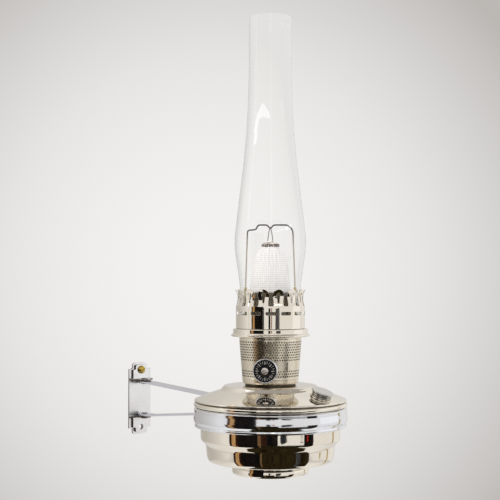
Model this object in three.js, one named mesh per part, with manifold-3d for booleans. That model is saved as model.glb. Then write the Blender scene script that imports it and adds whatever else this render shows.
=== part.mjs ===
// Wall bracket oil lamp: a swinging two-strap bracket that carries a mantle lamp in a ring band.
// Units are millimetres, +Z is up. The origin is the centre of the wall plate's back face.
// +Y points into the wall, so the arm and the lamp reach out along -Y.
import * as THREE from 'three';
import { mergeVertices, toCreasedNormals } from 'three/addons/utils/BufferGeometryUtils.js';
import Module from 'manifold-3d';

const wasm = await Module();
wasm.setup();

// Clearances and common values
const seatGap = 0.3; // between a piece and what it rests on or fits in
const overrun = 1; // how far a cutter runs past the face that it cuts
const largeSides = 32; // facets round the font and the band
const mediumSides = 28; // facets round the gallery and the crown
const innerSides = 20; // facets round the burner's inner pieces
const smallSides = 16; // facets round a knob, cap or wick tube
const pinSides = 10; // facets round a pin, screw or post
const holeSegments = 5; // half the facets round a hole in a flat piece
const cutTolerance = 0.002; // leftovers of a cut that are smaller than this are merged away
const creaseAngle = Math.PI / 6; // edges sharper than this are shaded as edges

// Outline of the plates' ends, as shares of their half width and of their end's height
const ogeeNeckShare = 0.68;
const ogeeHollowShare = 0.08;
const ogeeTipShare = 0.62;
const ogeeNeckHeightShare = 0.3;

// Wall plate and ear brackets
const plateHeight = 82;
const plateWidth = 32;
const plateThickness = 1.6;
const plateShoulderHeight = 7; // height of the ogee end above the straight sides
const screwHoleOffset = 33; // from the plate's centre to each screw hole
const screwHoleRadius = 3.2;
const tabWidth = 23;
const tabThickness = 2;
const tabEndMargin = 2.2; // the tab's tip stops this short of the plate's tip
const tabShoulderHeight = 5.6;
const earThickness = 2;
const earUpperLevel = 20.3; // underside of the upper ear
const earLowerLevel = -19.6; // top face of the lower ear
const earTipRadius = 7.5;
const pivotReach = 10; // from the wall to the pivot axis

// Pivot rivets and wall screw
const pivotRadius = 2.5;
const pivotHeadRadius = 4.4;
const pivotHeadHeight = 1.5;
const pivotTailRadius = 3.9;
const pivotTailHeight = 1;
const screwHeadRadius = 4.6;
const screwHeadHeight = 3;
const screwShankRadius = 2.3;
const screwLength = 26; // shank and tip under the head
const screwTipLength = 7;
const screwSlotWidth = 1.1;
const screwSlotDepth = 1;

// Arm
const armReach = 202; // from the pivot axis to the lamp's axis
const strapWidth = 14.5;
const strapThickness = 2.1;
const strapFlatLength = 12; // level stretch beyond the pivot
const strapBendLength = 9; // level stretch before the tab
const upperStrapRise = 5.4; // strap centre above the band's top
const lowerStrapRise = 5.2; // strap centre above the band's bottom
const strapRivetRadius = 1.8;
const strapRivetHeadRadius = 2.8;
const strapRivetHeadHeight = 1.2;

// Ring band
const bandHeight = 19.8;
const bandThickness = 6; // from the bore to the widest part of its rounded outside
const bandDrop = 3.6; // band centre below the wall plate's centre
const bandClearance = 1.3; // between the font's wall and the band's bore
const bandProfileShares = [ // share of the thickness, share of the height from the bottom
  [0.7, 0], [0.85, 0.07], [0.68, 0.18], [0.9, 0.34], [1, 0.56], [0.95, 0.84], [0.76, 1],
];

// Font
const fontWall = 1.2;
const footRadius = 39.3;
const footHeight = 10;
const footWall = 4;
const footEdgeRadius = 2.4;
const bowlRadius = 71.5;
const bowlLipInset = 1.6; // how far the upper step's foot draws in
const bowlLipHeight = 6;
const upperWallHeight = 34; // hidden in the band for its upper part
const ledgeHeight = 4.6;
const ledgeRun = 3.9;
const lowerWallHeight = 11.8;
const lowerWallLean = 1.1;
const bowlCornerHeight = 5.7;
const bowlCornerRun = 6.6;
const rimFlare = 7.1; // rim radius beyond the bowl's wall
const rimTurnHeight = 1.6;
const rimHeight = 5.2;
const rimInset = 1.4; // inner edge of the rim's top, in from its widest part
const shoulderEdgeInset = 0.7; // shoulder's rolled edge, in from the rim
const shoulderEdgeHeight = 1.8;
const shoulderRun = 26.3;
const shoulderHeight = 9.7;
const domeSideRun = 4.1;
const domeSideHeight = 3.4;
const domeCapRun = 9;
const domeCapHeight = 1.5;

// Filler
const fillerAzimuth = 5; // degrees, from straight out of the wall
const fillerInset = 13.9; // filler's centre, in from the shoulder's edge
const fillerBore = 7.2;
const fillerNeckWall = 1.2;
const fillerFlangeWidth = 2.4;
const fillerFlangeHeight = 1.4;
const fillerNeckHeight = 4.6;
const fillerNeckDepth = 4; // below the shoulder's surface
const gasketThickness = 0.8;
const capOverhang = 3; // cap's top disc beyond its neck's outside
const capWall = 1.2;
const capTopHeight = 1.8;
const capGripCount = 12;
const capGripDepth = 0.5;
const gripSides = 4;

// Burner
const knobAzimuth = -53;
const collarWall = 1.1;
const collarFlangeWidth = 2.5;
const collarFlangeHeight = 0.9;
const collarDepth = 6;
const basketTopRadius = 31.8; // the tubes, gallery, crown, mantle and chimney follow this size
const basketTaper = 3.3; // how far the basket's foot draws in
const basketFootWidth = 6.2; // from the burner's neck out to the basket's foot
const burnerFloorInset = 1.3; // floor's edge, in from the basket's foot
const burnerFloorHeight = 0.9;
const burnerNeckWall = 1.2;
const burnerNeckDepth = 8.5;
const burnerNeckRoom = 3.9; // between the neck and the outer wick tube
const basketWall = 0.6;
const basketTurnHeight = 1.6;
const basketTaperHeight = 41.5;
const basketCollarHeight = 12.6;
const basketHoleWidth = 3;
const basketHoleHeight = 3;
const basketHoleCount = 20;
const basketRowStepShare = 0.1; // row spacing as a share of the taper's height
const basketUpperRows = 3;
const basketUpperRowsShare = 0.66; // lowest of the upper rows, as a share of the taper's height
const basketLowerRows = 1;
const basketLowerRowsShare = 0.15;

// Wick tubes, wick and its raiser
const outerTubeWall = 0.8;
const outerTubeRise = 20.8; // above the gallery's ledge
const innerTubeWall = 0.8;
const tubeFootHeight = 1.5; // inner tube's floor above the burner's floor
const ductWidth = 8;
const ductHeight = 6;
const ductWall = 0.8;
const ductLevel = 7.2; // duct centre above the burner's floor
const ductOverhang = 1;
const wickThickness = 2.2;
const wickRise = 1.5; // wick's top above the outer tube
const wickTailClearance = 10; // tails end this far above the bowl's floor
const wickNotchClearance = 5; // above the duct
const carrierWall = 0.7;
const carrierHeight = 14;
const carrierLevel = 17; // carrier's foot above the burner's floor
const pinionTeeth = 10;
const pinionRadius = 4; // pitch radius
const toothRise = 0.8;
const toothDepth = 1.1;
const toothWidthShare = 0.42; // of the pitch, at the pitch line
const toothFlankShare = 0.09; // narrowing of each flank from the pitch line to the tip
const pinionWidth = 3;
const pinionStandOff = 3.8; // pinion's centre, out from the outer wick tube
const rackBackWidth = 2;
const rackBelow = 9.5; // rack below the spindle
const rackAbove = 14.5;
const rackLugHeight = 4;
const rackLugDrop = 3.5; // lug's top below the rack's top
const wickTravelUp = 5.3;
const wickTravelDown = 4.3;

// Spindle and knob
const spindleLevel = 17.1; // above the platform
const spindleRadius = 2.2;
const spindleTipRadius = 1.4;
const bushingWall = 1.3;
const bushingLength = 6;
const bushingFlangeWidth = 1.3;
const bushingFlangeHeight = 1;
const knobRadius = 12.4;
const knobRimHeight = 6;
const knobHubRadius = 5;
const knobHubHeight = 5;
const knobStandOff = 2.6; // hub's back in front of the bushing
const knobEdgeRadius = 1.4;
const knobFaceRadius = 11.2;
const knobFaceThickness = 0.9;
const knobScrewRadius = 3.9;
const knobScrewHeadHeight = 1.4;
const knobScrewShankRadius = 1.1;
const knobScrewLength = 4;

// Gallery and crown
const galleryWall = 0.6;
const galleryOverhang = 6.5; // band of the gallery, out from the basket
const galleryLipWidth = 2.1; // lip beyond the band
const galleryLipHeight = 2.6;
const galleryStepRise = 1;
const galleryBandHeight = 4.4;
const galleryEdge = 0.8; // softened corner of the band's top and the lip's foot
const galleryMouthInset = 8.3; // mouth, in from the basket's top
const crownAzimuth = -45; // one slot faces this way
const crownInset = 2.9; // crown's wall, in from the gallery's band
const crownWaistInset = 1.9;
const crownFlare = 2.5; // petal tips beyond the waist
const crownWall = 0.6;
const crownWallHeight = 22.5;
const crownWaistHeight = 31.7;
const crownHeight = 39.7;
const crownPetals = 14;
const crownSlotWidth = 11;
const crownSlotHeight = 3.4;
const crownSlotLevel = 15.6;
const petalNotchBottom = 23;
const petalNotchWidthShare = 0.46; // widest part of a notch, as a share of the petal pitch
const petalMouthWidthShare = 0.26; // notch's mouth between two petal heads
const petalHoleWidth = 4.2;
const petalHoleTailWidth = 2.2;
const petalHoleHeight = 10.5;
const petalHoleMargin = 3.2; // metal above the hole

// Chimney
const chimneyLength = 321.3;
const chimneyBulge = 1.3; // bulb beyond the crown's wall
const chimneyWall = 1.9;
const chimneySteps = 12;
const chimneySides = 24;
const chimneyProfileShares = [ // share of the bulb's radius, share of the length
  [0.883, 0], [0.878, 0.014], [0.856, 0.032], [0.846, 0.07], [0.853, 0.111], [0.869, 0.1475],
  [0.943, 0.208], [0.989, 0.244], [1, 0.2885], [0.959, 0.333], [0.853, 0.436], [0.763, 0.5195],
  [0.689, 0.606], [0.676, 0.645], [0.613, 0.7887], [0.603, 0.9], [0.599, 1],
];

// Mantle and its frame
const frameAzimuth = -45; // the wire frame is seen flat from this side
const mantleBaseLap = 3.7; // base's flange beyond the gallery's mouth
const mantleBaseWall = 1;
const mantleFlangeWidth = 3;
const mantleNeckRoom = 1.4; // between the outer wick tube and the base's neck
const mantleConeHeight = 24;
const mantleNeckHeight = 8;
const postMargin = 1.3; // post's centre, out from the cone's foot
const postRadius = 1.2;
const postHeight = 41;
const wireRadius = 0.75;
const wireSides = 6;
const wireSteps = 40;
const wireClearance = 2.5; // wire's shoulders beyond the mantle
const wireShoulderHeight = 58; // above the posts
const wireBarRise = 5.5;
const wireBarLeftInset = 11; // ends of the raised bar, in from the shoulders
const wireBarRightInset = 4.9;
const wireBarSlant = 1.8;
const wireNotchHalfWidth = 3;
const wireNotchDepth = 4;
const mantleSlack = 0.4; // between the base's neck and the mantle
const mantleThickness = 0.9;
const mantleHeight = 53.5;
const mantleLap = 3; // how far the mantle reaches down over the base's neck
const mantleProfileShares = [ // share of the mantle's radius, share of its height
  [1, 0], [1, 0.2], [0.966, 0.39], [0.876, 0.58], [0.72, 0.83], [0.6, 0.93], [0.42, 0.99],
];
const mantleFolds = 12;
const mantleFoldShare = 0.07; // depth of a fold at the top, as a share of the radius there
const mantleFoldFootShare = 0.5; // folds start at this share of the height
const gatherRadiusShare = 0.43; // of the mantle's radius
const gatherHeight = 4.6;
const gatherKnotRadius = 3.6;
const gatherKnotHeight = 1.2;
const cordRadius = 0.45;
const cordSides = 4;
const cordSteps = 12;
const cordFootOffset = 2.6;

// Flame spreader
const spreaderWall = 0.7;
const spreaderStemHeight = 9;
const spreaderBodyHeight = 14.5;
const spreaderDomeHeight = 6;

// Derived sizes: bracket
const tabFace = plateThickness + seatGap + tabThickness;
const pivotHoleRadius = pivotRadius + seatGap;
const bandInnerRadius = bowlRadius + bandClearance;
const bandOuterRadius = bandInnerRadius + bandThickness;
const bandTop = bandHeight / 2 - bandDrop;
const bandBottom = bandTop - bandHeight;
const strapReach = armReach - bandOuterRadius - seatGap; // from the pivot to the tab's inner face
const upperStrapLevel = earUpperLevel - seatGap - strapThickness / 2;
const lowerStrapLevel = earLowerLevel + seatGap + strapThickness / 2;

// Derived levels of the font, counted up from the foot's underside
const bowlFloor = footHeight + seatGap;
const lowerWallFoot = bowlFloor + bowlCornerHeight;
const lowerWallTop = lowerWallFoot + lowerWallHeight;
const upperWallFoot = lowerWallTop + ledgeHeight;
const upperWallTop = upperWallFoot + upperWallHeight;
const rimUnderside = upperWallTop + rimTurnHeight;
const rimTop = rimUnderside + rimHeight;
const rimRadius = bowlRadius + rimFlare;
const shoulderFoot = rimTop + seatGap;
const shoulderEdgeRadius = rimRadius - shoulderEdgeInset;
const shoulderLow = shoulderFoot + shoulderEdgeHeight;
const shoulderTop = shoulderLow + shoulderHeight;
const shoulderTopRadius = shoulderEdgeRadius - shoulderRun;
const shoulderSlope = Math.atan2(shoulderHeight, shoulderRun);
const domeShoulderRadius = shoulderTopRadius - domeSideRun;
const domeShoulderLevel = shoulderTop + domeSideHeight;
const platformRadius = domeShoulderRadius - domeCapRun;
const platformLevel = domeShoulderLevel + domeCapHeight;
const fontLevel = bandTop + seatGap - rimUnderside; // the rim sits on the band

// Derived sizes: filler
const fillerOffset = shoulderEdgeRadius - fillerInset;
const fillerLevel = shoulderLow + fillerInset * shoulderHeight / shoulderRun;
const fillerNeckRadius = fillerBore + fillerNeckWall;
const capBore = fillerNeckRadius + seatGap;
const capNeckRadius = capBore + capWall;
const capFoot = fillerFlangeHeight + 2 * seatGap;
const gasketLevel = fillerNeckHeight + seatGap;
const capCeiling = gasketLevel + gasketThickness + seatGap;

// Derived sizes: burner, from the basket in to its neck
const basketBottomRadius = basketTopRadius - basketTaper;
const burnerFloorRadius = basketBottomRadius - burnerFloorInset;
const burnerNeckRadius = basketBottomRadius - basketFootWidth;
const collarBore = burnerNeckRadius + seatGap;
const collarRadius = collarBore + collarWall;
const platformOpening = collarRadius + seatGap;
const collarFoot = platformLevel + seatGap;
const collarTop = collarFoot + collarFlangeHeight;
const basketFoot = collarTop + seatGap;
const basketTaperTop = basketFoot + basketTurnHeight + basketTaperHeight;
const basketTop = basketTaperTop + basketCollarHeight - galleryWall;
const burnerFloorFoot = basketFoot + basketWall + seatGap;
const burnerFloor = burnerFloorFoot + burnerFloorHeight;
const spindleHeight = platformLevel + spindleLevel;
const galleryLedge = basketTop + seatGap + galleryWall;

// Derived sizes: tubes, carrier and wick, from the outer tube in
const outerTubeRadius = burnerNeckRadius - burnerNeckWall - burnerNeckRoom;
const outerTubeBore = outerTubeRadius - outerTubeWall;
const outerTubeHead = galleryLedge + outerTubeRise;
const carrierRadius = outerTubeBore - seatGap;
const carrierBore = carrierRadius - carrierWall;
const carrierFoot = burnerFloor + carrierLevel;
const wickRadius = carrierBore - seatGap;
const wickBore = wickRadius - wickThickness;
const innerTubeRadius = wickBore - seatGap;
const innerTubeBore = innerTubeRadius - innerTubeWall;
const innerTubeFoot = burnerFloor + tubeFootHeight;
const ductCentre = burnerFloor + ductLevel;
const ductHalfLength = outerTubeRadius + ductOverhang;
const toothPitch = 2 * Math.PI * pinionRadius / pinionTeeth;
const pinionOffset = outerTubeRadius + pinionStandOff;

// Derived sizes: spindle and knob
const bushingBore = spindleRadius + seatGap;
const bushingRadius = bushingBore + bushingWall;
const bushingFlangeRadius = bushingRadius + bushingFlangeWidth;
const basketRadiusAtBushing = THREE.MathUtils.mapLinear(spindleHeight + bushingFlangeRadius,
  basketFoot + basketTurnHeight, basketTaperTop, basketBottomRadius, basketTopRadius);
const bushingFace = basketRadiusAtBushing + seatGap + bushingFlangeHeight;
const knobBack = bushingFace + knobStandOff;
const knobRecess = knobFaceThickness + seatGap;
const knobFaceLevel = knobHubHeight + knobRimHeight - knobRecess + seatGap;
const knobScrewLevel = knobFaceLevel + knobFaceThickness + seatGap;

// Derived sizes: gallery, crown and chimney
const galleryStepRadius = basketTopRadius + galleryOverhang;
const galleryLipRadius = galleryStepRadius + galleryLipWidth;
const galleryMouthRadius = basketTopRadius - galleryMouthInset;
const crownRadius = galleryStepRadius - crownInset;
const crownWaistRadius = crownRadius - crownWaistInset;
const crownTipRadius = crownWaistRadius + crownFlare;
const chimneyRadius = crownRadius + chimneyBulge;
const galleryLipFoot = galleryLedge - galleryBandHeight - galleryStepRise - galleryLipHeight;
const crownFoot = galleryLedge + seatGap;
const chimneyFoot = galleryLedge + seatGap;

// Derived sizes: mantle and its frame
const mantleBaseRadius = galleryMouthRadius + mantleBaseLap;
const mantleConeFootRadius = mantleBaseRadius - mantleFlangeWidth;
const mantleConeRadius = outerTubeRadius + mantleNeckRoom + mantleBaseWall;
const mantleRadius = mantleConeRadius + mantleSlack + mantleThickness;
const mantleBaseTop = galleryLedge + seatGap + mantleBaseWall;
const mantleNeckTop = mantleBaseTop + mantleConeHeight + mantleNeckHeight;
const postFoot = mantleBaseTop + seatGap;
const postOffset = mantleConeFootRadius + postMargin;
const wireShoulderOffset = mantleRadius + wireClearance;
const wireBarLeft = wireShoulderOffset - wireBarLeftInset;
const wireBarRight = wireShoulderOffset - wireBarRightInset;
const wireFoot = postFoot + postHeight + seatGap;
const wireShoulderLevel = wireFoot + wireShoulderHeight;
const wireBarLevel = wireShoulderLevel + wireBarRise;
const wireNotchLevel = wireBarLevel - wireNotchDepth;
const mantleFoot = mantleNeckTop - mantleLap;
const mantleTop = mantleFoot + mantleHeight;
const foldFoot = mantleFoot + mantleFoldFootShare * mantleHeight;
const gatherRadius = gatherRadiusShare * mantleRadius;
const gatherFoot = mantleTop + seatGap;
const gatherTop = gatherFoot + gatherHeight;
const cordFoot = gatherTop + gatherKnotHeight + seatGap;

// Finishes
const finishes = {
  nickel: { color: 0xd8cfc0, roughness: 0.08, metalness: 1 },
  chrome: { color: 0xdfe2e8, roughness: 0.1, metalness: 1 },
  brass: { color: 0xc9a24e, roughness: 0.25, metalness: 1 },
  steel: { color: 0xa9a6a0, roughness: 0.35, metalness: 1 },
  enamel: { color: 0x101012, roughness: 0.3, metalness: 0 },
  rubber: { color: 0x2a2725, roughness: 0.8, metalness: 0 },
  cotton: { color: 0xd9cfb8, roughness: 0.95, metalness: 0 },
  knit: { color: 0xf2f0ea, roughness: 0.95, metalness: 0 },
  thread: { color: 0x4a443d, roughness: 0.95, metalness: 0 },
  glass: { color: 0xffffff, roughness: 0.02, metalness: 0, transparent: true, opacity: 0.2 },
};

// Solids: three.js geometry in, three.js geometry out
function toSolid(geometry) {
  const bare = geometry.clone();
  bare.deleteAttribute('normal');
  bare.deleteAttribute('uv');
  const shared = mergeVertices(bare);
  const corners = Array.from(shared.index.array);
  const kept = [];
  for (let i = 0; i < corners.length; i += 3) {
    const [a, b, c] = corners.slice(i, i + 3);
    if (a !== b && b !== c && c !== a) kept.push(a, b, c);
  }
  return new wasm.Manifold(new wasm.Mesh({
    numProp: 3,
    vertProperties: new Float32Array(shared.attributes.position.array),
    triVerts: new Uint32Array(kept),
  }));
}

function toGeometry(solid) {
  const { vertProperties, triVerts } = solid.simplify(cutTolerance).getMesh();
  const geometry = new THREE.BufferGeometry();
  geometry.setAttribute('position', new THREE.BufferAttribute(vertProperties, 3));
  geometry.setIndex(new THREE.BufferAttribute(triVerts, 1));
  return geometry;
}

function cut(body, tools) {
  return toGeometry(tools.reduce((rest, tool) => rest.subtract(toSolid(tool)), toSolid(body)));
}

function join(body, pieces) {
  return toGeometry(pieces.reduce((whole, piece) => whole.add(toSolid(piece)), toSolid(body)));
}

function common(body, other) {
  return toGeometry(toSolid(body).intersect(toSolid(other)));
}

// Outlines
function offsetPath(points, distance) {
  return points.map(([x, y], index) => {
    const [px, py] = points[Math.max(index - 1, 0)];
    const [nx, ny] = points[Math.min(index + 1, points.length - 1)];
    const arriving = new THREE.Vector2(x - px, y - py).normalize();
    const leaving = new THREE.Vector2(nx - x, ny - y).normalize();
    if (index === 0) arriving.copy(leaving);
    if (index === points.length - 1) leaving.copy(arriving);
    const normal = new THREE.Vector2(-arriving.y, arriving.x);
    const mitre = normal.clone().add(new THREE.Vector2(-leaving.y, leaving.x)).normalize();
    mitre.multiplyScalar(distance / mitre.dot(normal));
    return [x + mitre.x, y + mitre.y];
  });
}

function sheet(points, thickness) {
  return [...points, ...offsetPath(points, thickness).reverse()];
}

function bend(start, corner, end, steps) {
  const [a, b, c] = [start, corner, end].map(([x, y]) => new THREE.Vector2(x, y));
  return new THREE.QuadraticBezierCurve(a, b, c).getPoints(steps).map(({ x, y }) => [x, y]);
}

function smooth(points, steps) {
  const curve = new THREE.SplineCurve(points.map(([x, y]) => new THREE.Vector2(x, y)));
  return curve.getPoints(steps).map(({ x, y }) => [x, y]);
}

function arc(radius, startDegrees, endDegrees, steps, x = 0, y = 0) {
  return Array.from({ length: steps + 1 }, (_, index) => {
    const angle = THREE.MathUtils.degToRad(THREE.MathUtils.lerp(startDegrees, endDegrees, index / steps));
    return [x + radius * Math.cos(angle), y + radius * Math.sin(angle)];
  });
}

function shapeOf(points, holes = []) {
  const outline = points.map(([x, y]) => new THREE.Vector2(x, y));
  if (THREE.ShapeUtils.isClockWise(outline)) outline.reverse();
  const shape = new THREE.Shape(outline);
  shape.holes.push(...holes);
  return shape;
}

function circle(radius, x = 0, y = 0) {
  const path = new THREE.Path();
  path.absarc(x, y, radius, 0, 2 * Math.PI, true);
  return path;
}

// Basic forms
function revolve(outline, sides) {
  const points = outline.map(([radius, level]) => new THREE.Vector2(radius, level));
  if (THREE.ShapeUtils.area(points) < 0) points.reverse();
  points.push(points[0].clone());
  return new THREE.LatheGeometry(points, sides).rotateX(Math.PI / 2);
}

function rod(radius, length, sides = pinSides) {
  return revolve([[0, 0], [radius, 0], [radius, length], [0, length]], sides);
}

function tube(outerRadius, innerRadius, foot, top, sides) {
  return revolve([[innerRadius, foot], [outerRadius, foot], [outerRadius, top], [innerRadius, top]], sides);
}

function slab(shape, thickness, curveSegments = holeSegments) {
  return new THREE.ExtrudeGeometry(shape, { depth: thickness, bevelEnabled: false, curveSegments });
}

// Drawn in X and Z, and thickened towards -Y.
function uprightSlab(shape, thickness, curveSegments) {
  return slab(shape, thickness, curveSegments).rotateX(Math.PI / 2);
}

// Drawn in distance from the wall and Z, and thickened along X, centred.
function sideSlab(shape, width) {
  const geometry = slab(shape, width).rotateX(Math.PI / 2).rotateZ(-Math.PI / 2);
  return geometry.translate(width / 2, 0, 0);
}

// A revolved or extruded piece that stood on +Z, laid down to point along -Y.
function pointOutwards(geometry) {
  return geometry.rotateX(Math.PI / 2);
}

function wireAlong(points, radius, sides, steps) {
  const knots = points.map((point) => new THREE.Vector3(...point));
  const path = new THREE.CatmullRomCurve3(knots, false, 'centripetal');
  const section = new THREE.Shape();
  section.absarc(0, 0, radius, 0, 2 * Math.PI);
  return new THREE.ExtrudeGeometry(section, {
    steps, extrudePath: path, bevelEnabled: false, curveSegments: sides / 2,
  });
}

function piece(name, geometry, finish) {
  const shaded = toCreasedNormals(toGeometry(toSolid(geometry)), creaseAngle);
  const mesh = new THREE.Mesh(shaded, new THREE.MeshStandardMaterial(finishes[finish]));
  mesh.name = name;
  return mesh;
}

function group(children, x = 0, y = 0, z = 0, azimuth = 0) {
  const holder = new THREE.Group();
  holder.position.set(x, y, z);
  holder.rotation.z = THREE.MathUtils.degToRad(azimuth);
  holder.add(...children);
  return holder;
}

// Half of an ogee-ended outline: straight side, hollow shoulder, round tip
function ogeeEnd(halfWidth, top, shoulderHeight) {
  const neckHalfWidth = ogeeNeckShare * halfWidth;
  const foot = top - shoulderHeight;
  const neckLevel = foot + ogeeNeckHeightShare * shoulderHeight;
  const hollowStart = neckHalfWidth + ogeeHollowShare * halfWidth;
  const right = [
    [halfWidth, foot],
    ...bend([hollowStart, foot], [neckHalfWidth, foot], [neckHalfWidth, neckLevel], 2),
    ...bend([neckHalfWidth, neckLevel], [ogeeTipShare * halfWidth, top], [0, top], 4).slice(1, -1),
  ];
  return [...right, [0, top], ...right.map(([x, y]) => [-x, y]).reverse()];
}

// Bracket
function wallPlate() {
  const half = ogeeEnd(plateWidth / 2, plateHeight / 2, plateShoulderHeight);
  const outline = shapeOf([...half, ...half.map(([x, z]) => [-x, -z])],
    [circle(screwHoleRadius, 0, screwHoleOffset), circle(screwHoleRadius, 0, -screwHoleOffset)]);
  return piece('wall_plate', uprightSlab(outline, plateThickness), 'chrome');
}

function earOutline() {
  const root = plateWidth / 2;
  const right = [
    [root, -plateThickness - seatGap],
    ...bend([root, -tabFace], [earTipRadius, -tabFace], [earTipRadius, -pivotReach], 4),
  ];
  const tip = arc(earTipRadius, 0, -180, 8, 0, -pivotReach).slice(1, -1);
  const left = right.map(([x, y]) => [-x, y]).reverse();
  return shapeOf([...right, ...tip, ...left], [circle(pivotHoleRadius, 0, -pivotReach)]);
}

function earBracket(name, earFace, direction) {
  const tip = plateHeight / 2 - tabEndMargin;
  const end = ogeeEnd(tabWidth / 2, tip, tabShoulderHeight);
  const start = direction * earFace;
  const tabOutline = shapeOf([...end, [-tabWidth / 2, start], [tabWidth / 2, start]],
    [circle(screwHoleRadius, 0, screwHoleOffset)]);
  const tab = uprightSlab(tabOutline, tabThickness).translate(0, -plateThickness - seatGap, 0);
  const ear = slab(earOutline(), earThickness).translate(0, 0, start);
  const bracket = join(ear, [tab]);
  if (direction < 0) bracket.rotateY(Math.PI);
  return piece(name, bracket, 'chrome');
}

function wallScrew() {
  const dome = bend([screwHeadRadius, 0], [screwHeadRadius, screwHeadHeight], [0, screwHeadHeight], 4);
  const shankEnd = -screwLength + screwTipLength;
  const profile = [[0, -screwLength], [screwShankRadius, shankEnd], [screwShankRadius, 0], ...dome];
  const slot = new THREE.BoxGeometry(2 * screwHeadRadius + overrun, screwSlotWidth, 2 * screwSlotDepth)
    .translate(0, 0, screwHeadHeight);
  const screw = pointOutwards(cut(revolve(profile, pinSides), [slot]));
  const mesh = piece('wall_screw_upper', screw, 'brass');
  mesh.position.set(0, -tabFace - seatGap, screwHoleOffset);
  return mesh;
}

function pivotPin(name, earOuterFace, strapInnerFace) {
  const shank = Math.abs(earOuterFace - strapInnerFace) + 2 * seatGap;
  const head = bend([pivotHeadRadius, shank], [pivotHeadRadius, shank + pivotHeadHeight],
    [0, shank + pivotHeadHeight], 3);
  const profile = [
    [0, -pivotTailHeight], [pivotTailRadius, -pivotTailHeight], [pivotTailRadius, 0],
    [pivotRadius, 0], [pivotRadius, shank], ...head,
  ];
  const mesh = piece(name, revolve(profile, pinSides), 'chrome');
  const direction = Math.sign(earOuterFace - strapInnerFace);
  mesh.position.z = strapInnerFace - direction * seatGap;
  if (direction < 0) mesh.rotation.x = Math.PI;
  return mesh;
}

function bracket() {
  const upperPin = pivotPin('pivot_pin_upper', earUpperLevel + earThickness,
    upperStrapLevel - strapThickness / 2);
  const lowerPin = pivotPin('pivot_pin_lower', earLowerLevel - earThickness,
    lowerStrapLevel + strapThickness / 2);
  return group([
    wallPlate(),
    earBracket('ear_bracket_upper', earUpperLevel, 1),
    earBracket('ear_bracket_lower', earLowerLevel, -1),
    wallScrew(),
    group([upperPin, lowerPin], 0, -pivotReach, 0),
  ]);
}

// Arm
function strap(name, pivotLevel, bandLevel, tabEnd, rivetLevel) {
  const tabCentre = strapReach - strapThickness / 2;
  const centreLine = [
    [-strapWidth / 2, pivotLevel],
    [strapFlatLength, pivotLevel],
    [tabCentre - strapBendLength, bandLevel],
    [tabCentre, bandLevel],
    [tabCentre, tabEnd],
  ];
  const strip = sheet(offsetPath(centreLine, -strapThickness / 2), strapThickness);
  const side = sideSlab(shapeOf(strip), strapWidth);
  const plan = shapeOf([
    [strapWidth / 2, -strapReach - overrun],
    ...arc(strapWidth / 2, 0, 180, 8),
    [-strapWidth / 2, -strapReach - overrun],
  ], [circle(pivotHoleRadius)]);
  const eyeEnd = slab(plan, plateHeight).translate(0, 0, -plateHeight / 2);
  const rivetHole = pointOutwards(rod(strapRivetRadius + seatGap, strapThickness + 2 * overrun))
    .translate(0, -strapReach + strapThickness + overrun, rivetLevel);
  return piece(name, cut(common(side, eyeEnd), [rivetHole]), 'chrome');
}

function ringBand(rivetLevels) {
  const outside = bandProfileShares.map(([radial, level]) => [
    bandInnerRadius + radial * bandThickness, bandBottom + level * bandHeight]);
  const ring = revolve([...outside, [bandInnerRadius, bandTop], [bandInnerRadius, bandBottom]], largeSides);
  const hole = pointOutwards(rod(strapRivetRadius + seatGap, bandThickness + 2 * overrun));
  const holes = rivetLevels.map((level) => hole.clone().translate(0, bandOuterRadius + overrun, level));
  return piece('ring_band', cut(ring, holes), 'chrome');
}

function strapRivet(name, level) {
  const grip = bandThickness + seatGap + strapThickness;
  const head = bend([strapRivetHeadRadius, grip + seatGap],
    [strapRivetHeadRadius, grip + seatGap + strapRivetHeadHeight],
    [0, grip + seatGap + strapRivetHeadHeight], 3);
  const profile = [[0, seatGap], [strapRivetRadius, seatGap], [strapRivetRadius, grip + seatGap], ...head];
  const mesh = piece(name, revolve(profile, pinSides), 'chrome');
  mesh.rotation.x = -Math.PI / 2;
  mesh.position.set(0, bandInnerRadius, level);
  return mesh;
}

function arm() {
  const upperLevel = bandTop + upperStrapRise;
  const lowerLevel = bandBottom + lowerStrapRise;
  const lowerRivet = lowerLevel + strapThickness / 2 + seatGap + strapRivetHeadRadius;
  const lowerTabEnd = lowerRivet + strapRivetHeadRadius;
  const upperTabEnd = lowerTabEnd + 2 * seatGap;
  const upperRivet = upperTabEnd + strapRivetHeadRadius + seatGap;
  const band = group([
    ringBand([upperRivet, lowerRivet]),
    strapRivet('strap_rivet_upper', upperRivet),
    strapRivet('strap_rivet_lower', lowerRivet),
  ], 0, -armReach, 0);
  return group([
    strap('arm_strap_upper', upperStrapLevel, upperLevel, upperTabEnd, upperRivet),
    strap('arm_strap_lower', lowerStrapLevel, lowerLevel, lowerTabEnd, lowerRivet),
    band,
  ], 0, -pivotReach, 0);
}

// Font
function fontFoot() {
  const inner = footRadius - footWall;
  const profile = [
    [inner, 0],
    ...bend([footRadius - footEdgeRadius, 0], [footRadius, 0], [footRadius, footEdgeRadius], 3),
    [footRadius, footHeight],
    [inner, footHeight],
  ];
  return piece('font_foot_ring', revolve(profile, largeSides), 'nickel');
}

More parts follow.
